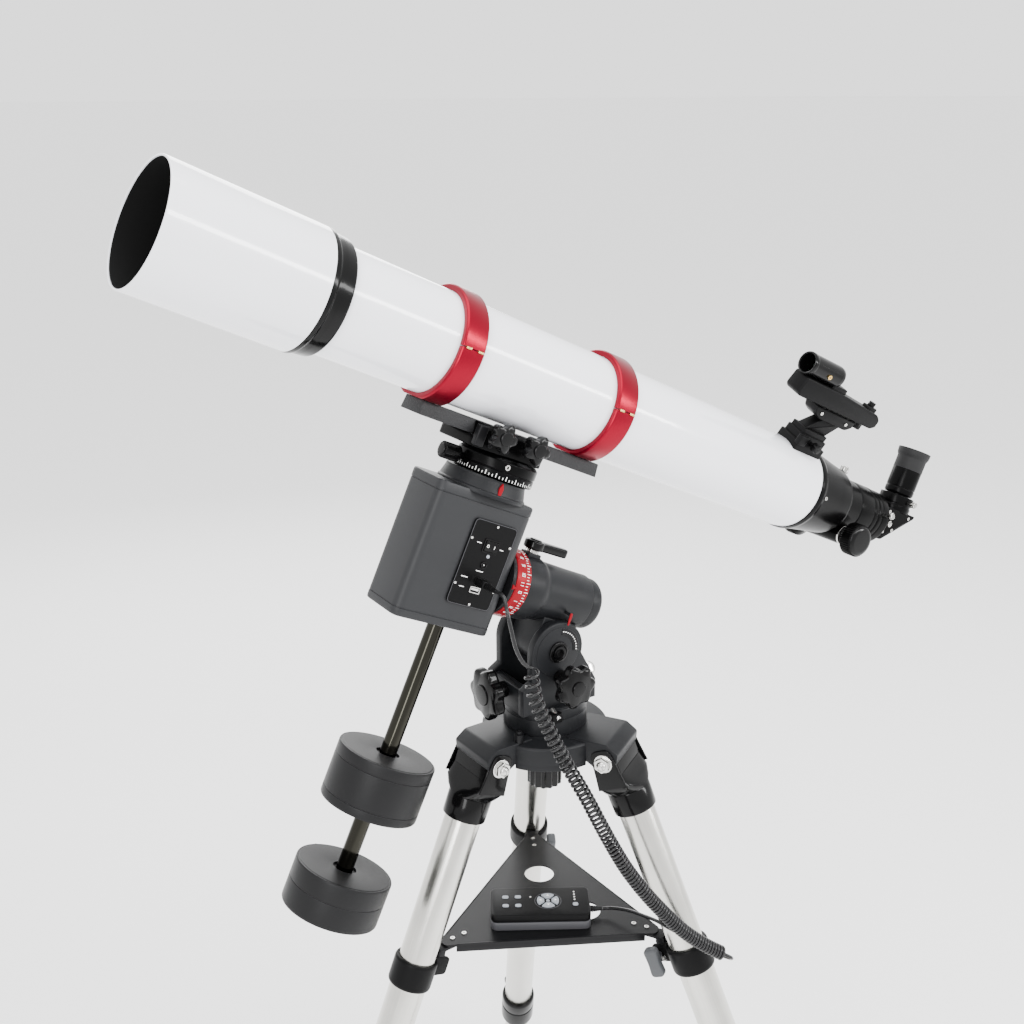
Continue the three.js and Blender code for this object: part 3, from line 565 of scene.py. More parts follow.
def area_light(name, place, target, width, height, power, along=None):
    """A rectangle of light that faces its target, with its width level unless along says which way."""
    data = bpy.data.lights.new(name, "AREA")
    data.shape = "RECTANGLE"
    data.size, data.size_y, data.energy = width, height, power
    light = new_object(name, data)
    back = Vector(place) - Vector(target)
    light.matrix_world = frame_at(place, along or UP.cross(back), back)
    return light


# A long strip beside the tube and parallel to it, so that its reflection is a thin line along the enamel.
tube_way = -axis_of("right_ascension")
tube_up = axis_of("declination")
TUBE_MIDDLE = Vector((-0.1, 0, 1.42))
STRIP_BACK, STRIP_OUT, STRIP_UP = 1.1, 2.03, 1.08
strip_target = TUBE_MIDDLE - STRIP_BACK * tube_way
strip_place = strip_target + STRIP_OUT * Vector((0, -1, 0)) + STRIP_UP * tube_up

MIDDLE = (-0.1, 0, 1.0)
lights = [
    area_light("overhead", (-0.3, -0.3, 3.6), MIDDLE, 2.6, 2.6, 90),
    area_light("front_left", (-3.0, -2.4, 2.4), MIDDLE, 0.9, 2.4, 90),
    area_light("strip", strip_place, strip_target, 2.8, 0.3, 80, tube_way),
    area_light("behind", (0.9, 3.0, 2.2), MIDDLE, 2.2, 1.8, 70),
]
SKY_STRENGTH = 1.9
world = bpy.data.worlds.new("studio")
world.use_nodes = True
world.node_tree.nodes["Background"].inputs["Color"].default_value = (1, 1, 1, 1)
world.node_tree.nodes["Background"].inputs["Strength"].default_value = SKY_STRENGTH
bpy.context.scene.world = world

FLOOR_REACH = 300
floor_mesh = bpy.data.meshes.new("floor")
floor_corners = [(x * FLOOR_REACH, y * FLOOR_REACH, 0) for x, y in ((-1, -1), (1, -1), (1, 1), (-1, 1))]
floor_mesh.from_pydata(floor_corners, [], [(0, 1, 2, 3)])
floor_mesh.materials.append(finish("pale_floor", (0.95, 0.95, 0.95), 0.7, size=0.004, tone=0.01))
floor = new_object("floor", floor_mesh)


# ---------------------------------------------------------------- the controller's cord

LEAD_RADIUS = 2.2
COIL_RADIUS, COIL_WIRE = 7.2, 1.8
# The spacing of the turns, close at the bottom and wider at the top.
PITCH_LOW, PITCH_GAIN, PITCH_FALL = 4.0, 7.0, 2.2
TURN_STEPS = 16
LEAD_TOP = [
    (-118, -78.4, 1124), (-117, -92, 1122), (-119.5, -103, 1110), (-118.5, -109, 1092), (-114.5, -113, 1068),
    (-107, -115.5, 1051), (-101, -116, 1044.5),
]
COIL_ROUTE = [
    (-97, -116, 1040), (-93, -118, 1006), (-78, -126, 962), (-62, -134, 923), (-43, -144, 882),
    (-19, -157, 825), (2, -167, 781), (22, -178, 747), (44, -189, 716), (65, -200, 690), (88, -212, 669),
    (109, -223, 654),
]
LEAD_LOW = [
    (109.3, -223.2, 653.8), (117.5, -227.8, 648.3), (122.5, -224, 642), (121, -212, 638.5), (111, -200, 643),
    (96, -189, 654), (81, -178, 665), (72.5, -164, 669), (70, -144, 667.5), (67.5, -120, 662), (63, -97, 657),
    (55.5, -80, 652.8), (50, -72.1, 650.6), (44.1, -68.5, 650.1),
]


def smooth_line(points, per_span):
    """A centripetal curve through the points."""
    line = [Vector(p) for p in points]
    line = [line[0] * 2 - line[1], *line, line[-1] * 2 - line[-2]]
    result = []
    for i in range(1, len(line) - 2):
        near = line[i - 1:i + 3]
        knots = [0.0]
        for a, b in zip(near, near[1:]):
            knots.append(knots[-1] + math.sqrt((b - a).length))
        for k in range(per_span):
            t = knots[1] + (knots[2] - knots[1]) * k / per_span
            level = near
            for reach in (1, 2):
                level = [
                    level[j].lerp(level[j + 1], (t - knots[j]) / (knots[j + reach] - knots[j]))
                    for j in range(len(level) - 1)
                ]
            result.append(level[0].lerp(level[1], (t - knots[1]) / (knots[2] - knots[1])))
    result.append(line[-2])
    return result


def line_length(points):
    return sum((b - a).length for a, b in zip(points, points[1:]))


def coil_line(first, last):
    """The curly stretch between two shares of its route, opened out near the top by the cord's own weight."""
    spine = smooth_line(COIL_ROUTE, 30)
    total = line_length(spine)
    across = Vector((0, 1, 0))
    points, phase, done = [], 0.0, 0.0
    for a, b in zip(spine, spine[1:]):
        step = (b - a).length
        share = done / total
        pitch = PITCH_LOW + PITCH_GAIN * (1 - share) ** PITCH_FALL
        ahead = (b - a).normalized()
        across = (across - ahead * across.dot(ahead)).normalized()
        other = ahead.cross(across)
        turns = step / pitch
        count = max(2, round(turns * TURN_STEPS))
        for k in range(count):
            t = phase + 2 * math.pi * turns * k / count
            centre = a.lerp(b, k / count)
            here = (done + step * k / count) / total
            if first <= here <= last:
                points.append(centre + (across * math.cos(t) + other * math.sin(t)) * COIL_RADIUS)
        phase += 2 * math.pi * turns
        done += step
    return points


def cord_piece(name, points, radius, sides, nodes):
    tube = Shape().sweep(points, radius, sides).unridden(name, TRIPOD, "cord", nodes, 60)
    return tube


# The plug's place on the panel, seen in the polar frame.
PLUG_X, PLUG_UP = 0.3, -1.3
PLUG_AT = (PLUG_X, 0, PLUG_UP)
plug = Shape()
plug.box((PLUG_X - 6, -60, PLUG_UP - 4.5), (PLUG_X + 6, -42, PLUG_UP + 4.5), 2, 1.2)
for y in (-63, -66, -69, -72):
    plug.rod(4.6 + (60 + y) * 0.09, y, y + 1.9, "y", PLUG_AT, 0.5, 28)
plug.lathe([(0, -78), (2.6, -78), (3.6, -60), (0, -60)], "y", PLUG_AT, 28)
plug = plug.make("plug_body", POLAR, "plastic", "motor_unit", ["cord_plug"])
shell = Shape().box((PLUG_X - 4.2, -43, PLUG_UP - 2.8), (PLUG_X + 4.2, -38.6, PLUG_UP + 2.8), 0.8, 0.3)
shell.make("plug_shell", POLAR, "chrome", "motor_unit")

lead_points = smooth_line(LEAD_TOP, 8)
lead_top = cord_piece("lead_top", lead_points, LEAD_RADIUS, 12, ["cord_lead_top"])
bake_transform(lead_top)

COIL_SPLIT = 0.22  # as a share of the route
coil_upper_points = coil_line(0, COIL_SPLIT)
coil_lower_points = coil_line(COIL_SPLIT, 1)
coil_upper_points.insert(0, lead_points[-1])
coil_upper = cord_piece("coil_upper", coil_upper_points, COIL_WIRE, 8, [])
coil_lower = cord_piece("coil_lower", coil_lower_points, COIL_WIRE, 8, ["cord_coil"])
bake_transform(coil_upper)
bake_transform(coil_lower)

low_points = smooth_line(LEAD_LOW, 8)
low_points[0] = coil_lower_points[-1]
lead_low = cord_piece("lead_low", low_points, LEAD_RADIUS, 12, ["cord_lead_low"])
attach(lead_low, "tripod")


# ---------------------------------------------------------------- small hardware

PRINT_SUNK, PRINT_PROUD = 0.3, 0.12
TICK_COUNT, TICK_SHORT = 72, 0.55


def cap_screw(shape, axis, at, radius, base, top):
    """A screw's head with a round recess; base is where it seats and top its face."""
    deep = (top - base) * 0.6
    inner = radius * 0.5
    profile = [(0, top - deep), (inner, top - deep), (inner, top), (radius, top), (radius, base), (0, base)]
    return shape.lathe(profile, axis, at, 28, 0.2)


def cap_screws(name, space, look, body, axis, radius, base, top, places):
    """A piece of its own made of such screws."""
    shape = Shape()
    for at in places:
        cap_screw(shape, axis, at, radius, base, top)
    return shape.make(name, space, look, body)


def span(side, near, far):
    """The low and high ends of a stretch, on one side of the middle or the other."""
    return sorted((side * near, side * far))


def mirrored(profile, side):
    """A turned profile as it is, or seen from the other end of its axis."""
    return [(radius, side * place, *reach) for radius, place, *reach in profile]


def acorn_nut(shape, at, seat, side):
    """A washer, a hexagon nut and its domed end, along y outwards from the seat."""
    x, z = at
    spans = [(0, 1.3, circle(11.5, at)), (1.3, 7, hexagon(9.8, at, 12))]
    for low, high, outline in spans:
        shape.prism(outline, "y", *span(side, seat + low, seat + high), 0.6)
    dome = [(0, seat + 11.5), (3.4, seat + 11), (5.6, seat + 9), (6.2, seat + 6.8), (0, seat + 6.8)]
    return shape.lathe(mirrored(dome, side), "y", (x, 0, z), 32, 1)


def ticks(axis, at, radius, low, high, wide):
    """Marks printed round a drum, as thin bars: every third is the full length and the others are shorter."""
    shape = Shape()
    for k in range(TICK_COUNT):
        turn = math.radians(360 * k / TICK_COUNT)
        reach = high if k % 3 == 0 else low + (high - low) * TICK_SHORT
        half = wide / 2 / radius
        section = [(low, turn - half), (reach, turn - half), (reach, turn + half), (low, turn + half)]
        loops = [
            [round_axis(axis, at, r, a, place) for place, a in section]
            for r in (radius - PRINT_SUNK, radius + PRINT_PROUD)
        ]
        shape.skin(loops)
    return shape


# ---------------------------------------------------------------- tripod

HUB_TOP, TRAY_TOP = 925, 640.6
HUB_RADIUS = 78
EAR_SEAT, EAR_THICK = 35.4, 2.4
BOSS_ANGLE = math.radians(27)  # half of what a boss takes up of the hub's rim
SKIRT_LOW, SKIRT_HIGH, SKIRT_THICK = 872, 880, 8

# Places along a leg, whose own z axis points up it and starts at its top.
HINGE, SOCKET_END = -76, -154
CLAMP, CLAMP_EARS = -357, -348
LOCK_TOP, TUBE_END, LOCK_END = -822, -878, -892
FOOT_TOP = -985


def tripod_hub():
    hub = Shape().lathe([
        (0, HUB_TOP), (51.4, HUB_TOP), (51.4, 905, 0.4), (50.4, 904), (50.4, 902.4), (75.5, 901.6, 1.5),
        (77.5, 899, 1), (HUB_RADIUS, 878.4, 1.5), (70, 878.4), (66, 896), (22, 896), (22, 882.4), (0, 882.4),
    ], sides=144)
    hub.make("hub_casting", TRIPOD, "casting", "tripod", ["tripod_hub"])
    outline = rounded([
        (44, 904), (95, 904, 2.5), (109, 894, 2.5), (108, 881, 3), (101, 868, 6), (86, 867, 6), (64, 880, 4),
        (44, 880),
    ])
    for n, spoke in enumerate(SPOKES, 1):
        boss = Shape().prism(outline, "y", -EAR_SEAT, EAR_SEAT, 1.2)
        boss.make(f"hub_boss_{n}", spoke, "casting", "tripod")
        start, end = BOSS_ANGLE, 2 * math.pi / 3 - BOSS_ANGLE
        wall = circle(HUB_RADIUS, (0, 0), 32, start, end)
        wall += circle(HUB_RADIUS - SKIRT_THICK, (0, 0), 32, end, start)
        skirt = Shape().prism(wall, "z", SKIRT_LOW, SKIRT_HIGH, 0.8)
        skirt.make(f"hub_skirt_{n}", spoke, "casting", "tripod")
    screw = Shape().prism(lobed(14, 20.6, 1.1, sides=224), "z", 815.5, 862, 1.5).rod(6, 861, 903)
    screw.lathe([(0, 862), (15, 862), (12, 868, 2), (0, 868)])
    screw.make("hub_knob_grip", TRIPOD, "knob", "hub_knob", ["hub_center_knob"])
    at = (-60, -34, 0)
    stop = Shape().rod(5.5, 902, 914, at=at).rod(3.4, 914, 918, at=at)
    stop.make("azimuth_stop_screw", TRIPOD, "satin", "tripod")


def leg_socket(n, space):
    """The leg's top casting: flat between the hub's ears, and round where the tube goes in."""
    shape = Shape()
    sections = [
        (-96, 15, 37.6, 0.3), (-104, 17, 37.6, 0.3), (-112, 22, 36, 0.4), (-120, 26, 30, 0.7),
        (-125, 26.6, 26.6, 1), (-126, 27, 27, 1), (-151, 26.6, 26.6, 1), (-153, 26.2, 26.2, 1),
        (SOCKET_END, 25, 25, 1),
    ]
    loops = []
    for place, wide, deep, square in sections:
        loop = []
        for i in range(96):
            t = 2 * math.pi * i / 96
            a, b = math.cos(t), math.sin(t)
            x = wide * math.copysign(abs(a) ** square, a)
            y = deep * math.copysign(abs(b) ** square, b)
            loop.append((x, y, place))
        loops.append(loop)
    shape.skin(loops)
    shape.box((-14.5, -34, -112), (14.5, 34, -74), 4, 2)
    ear = rounded([(-13, -60, 9), (13, -60, 9), (16, -88, 4), (19, -110), (-19, -110), (-16, -88, 4)])
    for side in (-1, 1):
        shape.prism(ear, "y", *span(side, EAR_SEAT, EAR_SEAT + EAR_THICK), 0.6)
    shape.make(f"leg_socket_{n}", space, "gloss", "tripod")
    hardware = Shape()
    for side in (-1, 1):
        acorn_nut(hardware, (0, HINGE), EAR_SEAT + EAR_THICK, side)
    hardware.make(f"leg_hinge_nuts_{n}", space, "chrome", "tripod")


def leg_tube(n, space):
    """The polished upper tube, with the lock at its lower end."""
    tube = Shape().lathe([(22.4, -140), (22.4, TUBE_END), (19.6, TUBE_END), (19.6, -140)], sides=96)
    tube.make(f"leg_tube_{n}", space, "steel", "tripod", [f"leg_upper_{n}"])
    collar = Shape().lathe([
        (22.5, LOCK_TOP), (25.4, LOCK_TOP, 1), (27, LOCK_TOP - 4, 2), (27, -846, 0.6), (26, -847), (26, -850),
        (27, -851, 0.6), (27, -884, 2), (24.6, LOCK_END, 1), (19.5, LOCK_END), (19.5, TUBE_END - 1),
        (22.5, TUBE_END),
    ], sides=96)
    middle = (0, (LOCK_TOP + LOCK_END) / 2)
    at = (0, *middle)
    collar.rod(10, 20, 34, "x", at)
    collar.make(f"leg_lock_collar_{n}", space, "gloss", "tripod")
    knob = Shape().skin(star_layers(5, 16.5, 2.6, middle, "x", 37, 50, 4)).rod(4, 34.5, 38, "x", at)
    knob.rod(9, 49, 51.5, "x", at, 1.2)
    knob.make(f"leg_lock_grip_{n}", space, "knob", f"lock_knob_{n}", [f"leg_lock_knob_{n}"])


def tray_clamp(n, space, spoke):
    """What holds the tray to a leg: a collar, a bracket, screws and a wing knob."""
    collar = Shape().lathe([
        (22.6, CLAMP + 17), (26, CLAMP + 17, 1), (27, CLAMP + 14), (27, CLAMP - 14), (26, CLAMP - 17, 1),
        (22.6, CLAMP - 17),
    ], sides=96)
    corners = [(-44, -11), (-22, -13), (-22, 13), (-44, 11)]
    cheek = rounded([(x, CLAMP_EARS + z) for x, z in corners], 4)
    for side in (-1, 1):
        collar.prism(cheek, "y", *span(side, 4.5, 9.7), 1)
    collar.make(f"tray_clamp_collar_{n}", space, "plastic", "tripod")
    outline = [(112, 637.7), (166, 637.7, 3), (172, 611), (159, 611, 3), (157, 633.8, 3), (112, 633.8)]
    bracket = Shape().prism(rounded(outline, 1), "y", -9, 9, 0.8)
    bracket.make(f"tray_bracket_{n}", spoke, "satin", "tripod")
    screws = Shape()
    cap_screw(screws, "y", (-31, 0, CLAMP_EARS - 6), 3.6, -9.7, -12.2)
    for place in (124, 141):
        seat = spoke @ (Vector((place, 0, TRAY_TOP)) * MM)
        spot = (space.inverted() @ seat) / MM
        lean = (space.inverted().to_3x3() @ UP).to_track_quat("Z", "Y").to_matrix().to_4x4()
        head = Shape()
        cap_screw(head, "z", (0, 0, 0), 2.9, -0.2, 1.3)
        head.turn(Matrix.Translation(spot) @ lean)
        screws.join(head)
    screws.make(f"tray_screws_{n}", space, "chrome", "tripod")
    low, high = CLAMP_EARS - 19, CLAMP_EARS + 19
    grip = [(-45, low), (-27, low), (-28.5, CLAMP_EARS), (-27, high), (-45, high), (-43.5, CLAMP_EARS)]
    knob = Shape().prism(rounded(grip, 6), "y", -34, -22, 3)
    knob.make(f"tray_clamp_grip_{n}", space, "grey", f"clamp_knob_{n}", [f"tray_clamp_knob_{n}"])
    at = (-36, 0, CLAMP_EARS)
    stem = Shape().rod(4, -23, -10.2, "y", at).rod(6.4, -23, -18.5, "y", at, 1)
    stem.make(f"tray_clamp_stem_{n}", space, "grey", f"clamp_knob_{n}")


def lower_leg(n, space):
    tube = Shape().lathe([(19, -240), (19, FOOT_TOP - 6), (17.5, FOOT_TOP - 6), (17.5, -240)], sides=80)
    tube.make(f"lower_tube_{n}", space, "steel", f"lower_leg_{n}", [f"leg_lower_{n}"])
    foot = Shape().lathe([
        (0, FOOT_TOP), (20, FOOT_TOP, 1.5), (21, FOOT_TOP - 5), (21, -995, 0.5), (19.8, -996), (19.8, -999),
        (21, -1000, 0.5), (21, -1070), (0, -1070),
    ], sides=72)
    # The foot's end is cut level with the floor.
    for vert in foot.bm.verts:
        height = (space @ (vert.co * MM)).z / MM
        if height < 0:
            vert.co.z -= height / space.col[2].z
    foot.turn(Matrix.Scale(1 / MM, 4) @ TRIPOD.inverted() @ space @ Matrix.Scale(MM, 4))
    foot.make(f"foot_{n}", TRIPOD, "rubber", f"lower_leg_{n}")


def tray():
    """The accessory tray: a sheet with its three corners cut off, a lip along each side and three holes."""
    reach, half = 156, 6
    hole_radius, hole_at = 19.7, 57.5
    corners = []
    for spoke in SPOKES:
        direction = spoke.col[0].to_3d()
        side = spoke.col[1].to_3d()
        for offset in (-half, half):
            corner = direction * reach + side * offset
            corners.append((corner.x, corner.y, 4))
    holes = [circle(hole_radius, tuple((spoke.col[0].to_3d() * hole_at).xy), 64) for spoke in SPOKES]
    top = Shape().plate(rounded(corners), holes, "z", TRAY_TOP - 2.5, TRAY_TOP)
    top.make("tray_sheet", TRIPOD, "satin", "tripod", ["accessory_tray"])
    edge = reach * math.cos(math.radians(60)) + half * math.sin(math.radians(60))
    for n, spoke in enumerate(SPOKES, 1):
        lip = Shape().box((edge - 2.6, -118, TRAY_TOP - 11), (edge - 0.1, 118, TRAY_TOP + 0.2), 0.8, 0.8)
        lip.make(f"tray_lip_{n}", spoke @ spin(60, "Z"), "satin", "tripod")


tripod_hub()
for number, (leg_space, spoke_space) in enumerate(zip(LEGS, SPOKES), 1):
    leg_socket(number, leg_space)
    leg_tube(number, leg_space)
    tray_clamp(number, leg_space, spoke_space)
    lower_leg(number, leg_space)
tray()


# ---------------------------------------------------------------- hand controller

KEY_RING = 9.5  # from the dial's middle to the arrows
CASE_LONG, CASE_WIDE = 126, 60


def key_wedge(turn, margin):
    """One of the four arrow pads: a wedge of a ring, pointing away from the middle."""
    half = math.radians(37)
    out_half = half + margin / 12
    in_half = half - 0.12 + margin / 6
    outer = circle(14 + margin, (KEY_RING_X, 0), 12, turn - out_half, turn + out_half)
    inner = circle(5 - margin, (KEY_RING_X, 0), 6, turn + in_half, turn - in_half)
    return rounded(outer + inner, 1.2, 2)


def controller():
    end = CASE_LONG / 2
    outline = rectangle(-end, end, -CASE_WIDE / 2, CASE_WIDE / 2, 9)
    places = {"up": (0, 1), "left": (-1, 0), "down": (0, -1), "right": (1, 0)}
    lower = Shape().prism(outline, "z", 0, 11.4, 1.4)
    lower.make("controller_base", CASE, "edge", "tripod", ["controller_case"])
    upper = Shape().prism(outline, "z", 11.7, CASE_HEIGHT, 2)
    pockets = Shape()
    for x, y in places.values():
        pockets.prism(key_wedge(math.atan2(y, x), 0.4), "z", 17.5, 30, 0)
    upper.cut(pockets)
    upper.make("controller_top", CASE, "plastic", "tripod")
    relief = Shape()
    exit_at = (0, 0, 9)
    for k in range(5):
        relief.rod(4.6 - 0.35 * k, end + 2.6 * k, end + 2.6 * k + 1.8, "x", exit_at, 0.4, 24)
    relief.lathe([(0, end - 1), (3.8, end - 1), (2.7, end + 15.8), (0, end + 15.8)], "x", exit_at, 24)
    relief.make("controller_relief", CASE, "rubber", "tripod")
    low, high = CASE_HEIGHT - 0.2, CASE_HEIGHT + 0.35
    dial = Shape().lathe([(17, low), (17, high), (16.2, high), (16.2, low)], at=(KEY_RING_X, 0, 0), soft=0.15)
    dial.make("key_ring_trim", CASE, "edge", "tripod")
    for name, (x, y) in places.items():
        cx, cy = KEY_RING_X + x * KEY_RING, y * KEY_RING
        key = Shape().prism(key_wedge(math.atan2(y, x), 0), "z", 19.4, 23.8, 0.8)
        key.make(f"arrow_key_{name}", CASE, "key", f"key_{name}", [f"controller_key_{name}"])
        tip, back = 2.0, -1.1
        arrow = [(tip, 0), (back, 1.9), (back, -1.9)]
        arrow = [(cx + a * x - b * y, cy + a * y + b * x) for a, b in arrow]
        Shape().prism(arrow, "z", 23.7, 23.9, 0).make(f"arrow_mark_{name}", CASE, "mark", f"key_{name}")
    keys = Shape()
    for x in (-44, -28):
        for y in (-9, 9):
            keys.prism(rectangle(x - 4, x + 4, y - 2.8, y + 2.8, 2.6), "z", 21, 23.2, 0.8)
    keys.prism(rectangle(41, 48, -11, -5, 2.6), "z", 21, 23.2, 0.8)
    keys.rod(2.4, 21, 23, at=(KEY_RING_X, 0, 0), edge=0.6)
    keys.make("small_keys", CASE, "key", "tripod")
    lamps = Shape()
    for k in range(4):
        lamps.rod(1.1, 21.5, 22.4, at=(44, 2 + 5.4 * k, 0), edge=0.3, sides=20)
    lamps.rod(1.1, 21.5, 22.4, at=(-12, 9, 0), edge=0.3, sides=20)
    lamps.make("case_lamps", CASE, "mark", "tripod")


controller()


# ---------------------------------------------------------------- azimuth base

PIVOT_X, PIVOT_Z = -9.5, 1011
WALL_IN, WALL_OUT = 28.7, 41
BASE_FRONT, BASE_REAR = -58, 47


def azimuth_base():
    arc = circle(36, (PIVOT_X, PIVOT_Z), 48, math.radians(-15), math.pi)
    cheek = [*arc, (-45.5, 978), (BASE_FRONT, 970), (BASE_FRONT, 937), (BASE_REAR, 937), (BASE_REAR, 962)]
    body = Shape()
    for low, high in ((-WALL_OUT, -WALL_IN), (WALL_IN, WALL_OUT)):
        body.prism(cheek, "y", low, high, 2)
    body.box((BASE_FRONT + 1, -WALL_IN - 2, 936), (-44, WALL_IN + 2, 969), 1, 1.5)
    body.box((34, -WALL_IN - 2, 936), (BASE_REAR - 1, WALL_IN + 2, 961), 1, 1.5)
    body.make("azimuth_yoke", TRIPOD, "casting", "azimuth_head", ["azimuth_base"])
    drum = Shape().lathe([
        (0, HUB_TOP + 0.3), (51.4, HUB_TOP + 0.3), (51.4, 938, 1.5), (48, 940.5, 1), (0, 940.5),
    ], sides=128)
    drum.make("azimuth_drum", TRIPOD, "casting", "azimuth_head")
    face = Shape()
    pivot = (PIVOT_X, PIVOT_Z)
    for side in (-1, 1):
        face.prism(circle(30, pivot, 72), "y", *span(side, WALL_OUT - 0.5, WALL_OUT + 0.8), 0.5)
    face.make("yoke_faces", TRIPOD, "casting", "azimuth_head")
    start, end = math.radians(-8), math.radians(78)
    scale = [*circle(29, pivot, 24, start, end), *reversed(circle(21, pivot, 24, start, end))]
    plate = Shape().prism(scale, "y", -WALL_OUT - 1.4, -WALL_OUT - 0.6, 0.3)
    plate.make("latitude_scale", TRIPOD, "satin", "azimuth_head")
    dots = Shape()
    for k in range(11):
        x, z = point_round(pivot, 25.5, math.radians(-4 + 7.8 * k))
        dots.rod(0.8, -WALL_OUT - 1.6, -WALL_OUT - 1.3, "y", (x, 0, z), 0.1, 16)
    dots.make("latitude_dots", TRIPOD, "mark", "azimuth_head")
    clip = Shape().box((-26, -57, 926), (-12, -WALL_OUT - 1, 938), 3, 1.2)
    clip.make("azimuth_lock_clip", TRIPOD, "plastic", "azimuth_head")
    middle = (-19, -50, 0)
    pin = Shape().rod(3, -60, -42, "y", (-19, 0, 0), 1)
    pin.turn(spin(24, "X", middle) @ Matrix.Translation(middle).inverted())
    pin.turn(Matrix.Translation((0, 0, 936)))
    pin.make("azimuth_lock_pin", TRIPOD, "chrome", "azimuth_head")


def star_knob(name, body, nodes, axis, middle, grip, radius, swell, stem, hub_cap):
    """A knob with seven lobes: grip holds its two faces, and stem and hub_cap two faces and a radius."""
    a, b = middle
    at = {"x": (0, a, b), "y": (a, 0, b), "z": (a, b, 0)}[axis]
    knob = Shape().skin(star_layers(7, radius, swell, middle, axis, *sorted(grip), 5))
    knob.rod(stem[2], *sorted(stem[:2]), axis, at, 0.6)
    knob.rod(hub_cap[2], *sorted(hub_cap[:2]), axis, at, 1.6)
    return knob.make(name, TRIPOD, "gloss", body, nodes)


FRONT_KNOB, SIDE_KNOB = (0, 959), (-8, 979)
BOLT_UP = 954


def altitude_hardware():
    star_knob("altitude_front_knob", "altitude_adjuster", ["altitude_adjust_knob"], "x", FRONT_KNOB,
              (-90, -74), 29.5, 3, (-75, -58.5, 10), (-92, -88, 13))
    screw = Shape().rod(6, -62, -46, "x", (0, *FRONT_KNOB))
    screw.make("altitude_front_screw", TRIPOD, "chrome", "altitude_adjuster")
    star_knob("altitude_side_knob", "altitude_clamp", ["altitude_clamp_knob"], "y", SIDE_KNOB,
              (-82, -66), 24.5, 2.6, (-67, -WALL_OUT - 1.8, 9), (-84.5, -80, 9))
    at = (0, 0, BOLT_UP)
    bolt = Shape().rod(5, 36, 63, "x", at).prism(hexagon(9, (0, BOLT_UP)), "x", 62, 70, 0.8)
    bolt.lathe([(0, 69), (6, 69), (5, 72.5, 1), (0, 73.5)], "x", at, 32)
    for k in range(7):
        near, far = 47.6 + 2 * k, 49 + 2 * k
        thread = [(5.4, near), (6, 48.3 + 2 * k), (5.4, far), (4, far), (4, near)]
        bolt.lathe(thread, "x", at, 32, 0.2)
    bolt.make("altitude_rear_bolt", TRIPOD, "chrome", "altitude_screw", ["altitude_bolt"])


azimuth_base()
altitude_hardware()


# ---------------------------------------------------------------- polar axis

PIVOT_BACK, PIVOT_UP = 146, -57.6
CIRCLE_FROM, CIRCLE_TO, CIRCLE_RADIUS = 52.6, 72.7, 41
LEVER_X, LEVER_TIP = 88, 138


def polar_housing():
    """The fixed half of the polar axis, with its pivot, its latitude pointer and the clutch's seat."""
    body = Shape().lathe([
        (0, 197), (28.5, 197, 3), (31.3, 192, 2), (31.3, 180.4, 0.4), (30.6, 180), (30.6, 178.8),
        (33.6, 178.4, 1), (34, 150), (35.4, 107, 3), (38.4, 101, 3), (39, 96, 1), (39, 73.3, 0.8),
        (32.4, 73.3), (32.4, 52.4), (14.7, 52.4), (14.7, 60), (0, 60),
    ], "x", sides=144)
    body.make("polar_casting", POLAR, "casting", "polar_head", ["polar_axis_housing"])
    arc = circle(25, (PIVOT_BACK, PIVOT_UP), 40, math.pi, 2 * math.pi)
    lug = Shape().prism([(121, -24), *arc, (171, -24)], "y", -26, 26, 1.5)
    lug.make("polar_lug", POLAR, "casting", "polar_head")
    pivot = (PIVOT_BACK, 0, PIVOT_UP)
    pin = Shape().rod(8, -44, 44, "y", pivot)
    washer = [(0, -42), (13, -42), (13, -44.4, 1), (9.6, -45), (9.2, -43.6), (0, -43.6)]
    pin.lathe(washer, "y", pivot, 48, 0.4)
    pin.lathe([(0, 42), (12, 42), (12, 46, 1), (0, 46)], "y", pivot, 48)
    pin.make("pivot_pin", POLAR, "gloss", "polar_head")
    cap_screws("pivot_screw", POLAR, "gloss", "polar_head", "y", 8.2, -43, -46.4, [pivot])
    tip = [(-0.9, 34, 0.6), (0.9, 34, 0.6), (1.7, 42, 2), (1.5, 49, 1), (-1.5, 49, 1), (-1.7, 42, 2)]
    pointer = Shape().prism(tip, "y", -44.6, -42.8, 0.5)
    arm = Shape().box((-1.2, -43.4, 45), (1.2, -22, 48.6), 0.8, 0.5)
    for shape, name, look in ((pointer, "latitude_pointer", "red"), (arm, "pointer_arm", "casting")):
        shape.turn(spin(-4, "Y", pivot))
        shape.make(name, POLAR, look, "polar_head")
    pad = Shape().box((78, -9, 33), (98, 9, 42), 3, 1)
    pad.make("clutch_pad", POLAR, "casting", "polar_head")
    gear = Shape().prism(knurled(22, 8.4, 0.9, (LEVER_X, 0)), "z", 41.5, 45.7, 0.3)
    gear.make("clutch_collar", POLAR, "chrome", "polar_head")


def setting_circle():
    drum = Shape().lathe([
        (33, CIRCLE_FROM), (40.4, CIRCLE_FROM, 0.8), (CIRCLE_RADIUS, 55, 0.6),
        (CIRCLE_RADIUS, CIRCLE_TO, 0.8), (33, CIRCLE_TO),
    ], "x", sides=144)
    drum.make("setting_circle_drum", POLAR, "red", "setting_circle", ["polar_setting_circle"])
    marks = ticks("x", (0, 0, 0), CIRCLE_RADIUS, 66.5, 72, 0.7)
    for k in range(24):
        marks.join(dial_figure(k % 12, CIRCLE_RADIUS, 61, 15 * k + 1.5))
    marks.make("setting_circle_marks", POLAR, "mark", "setting_circle")


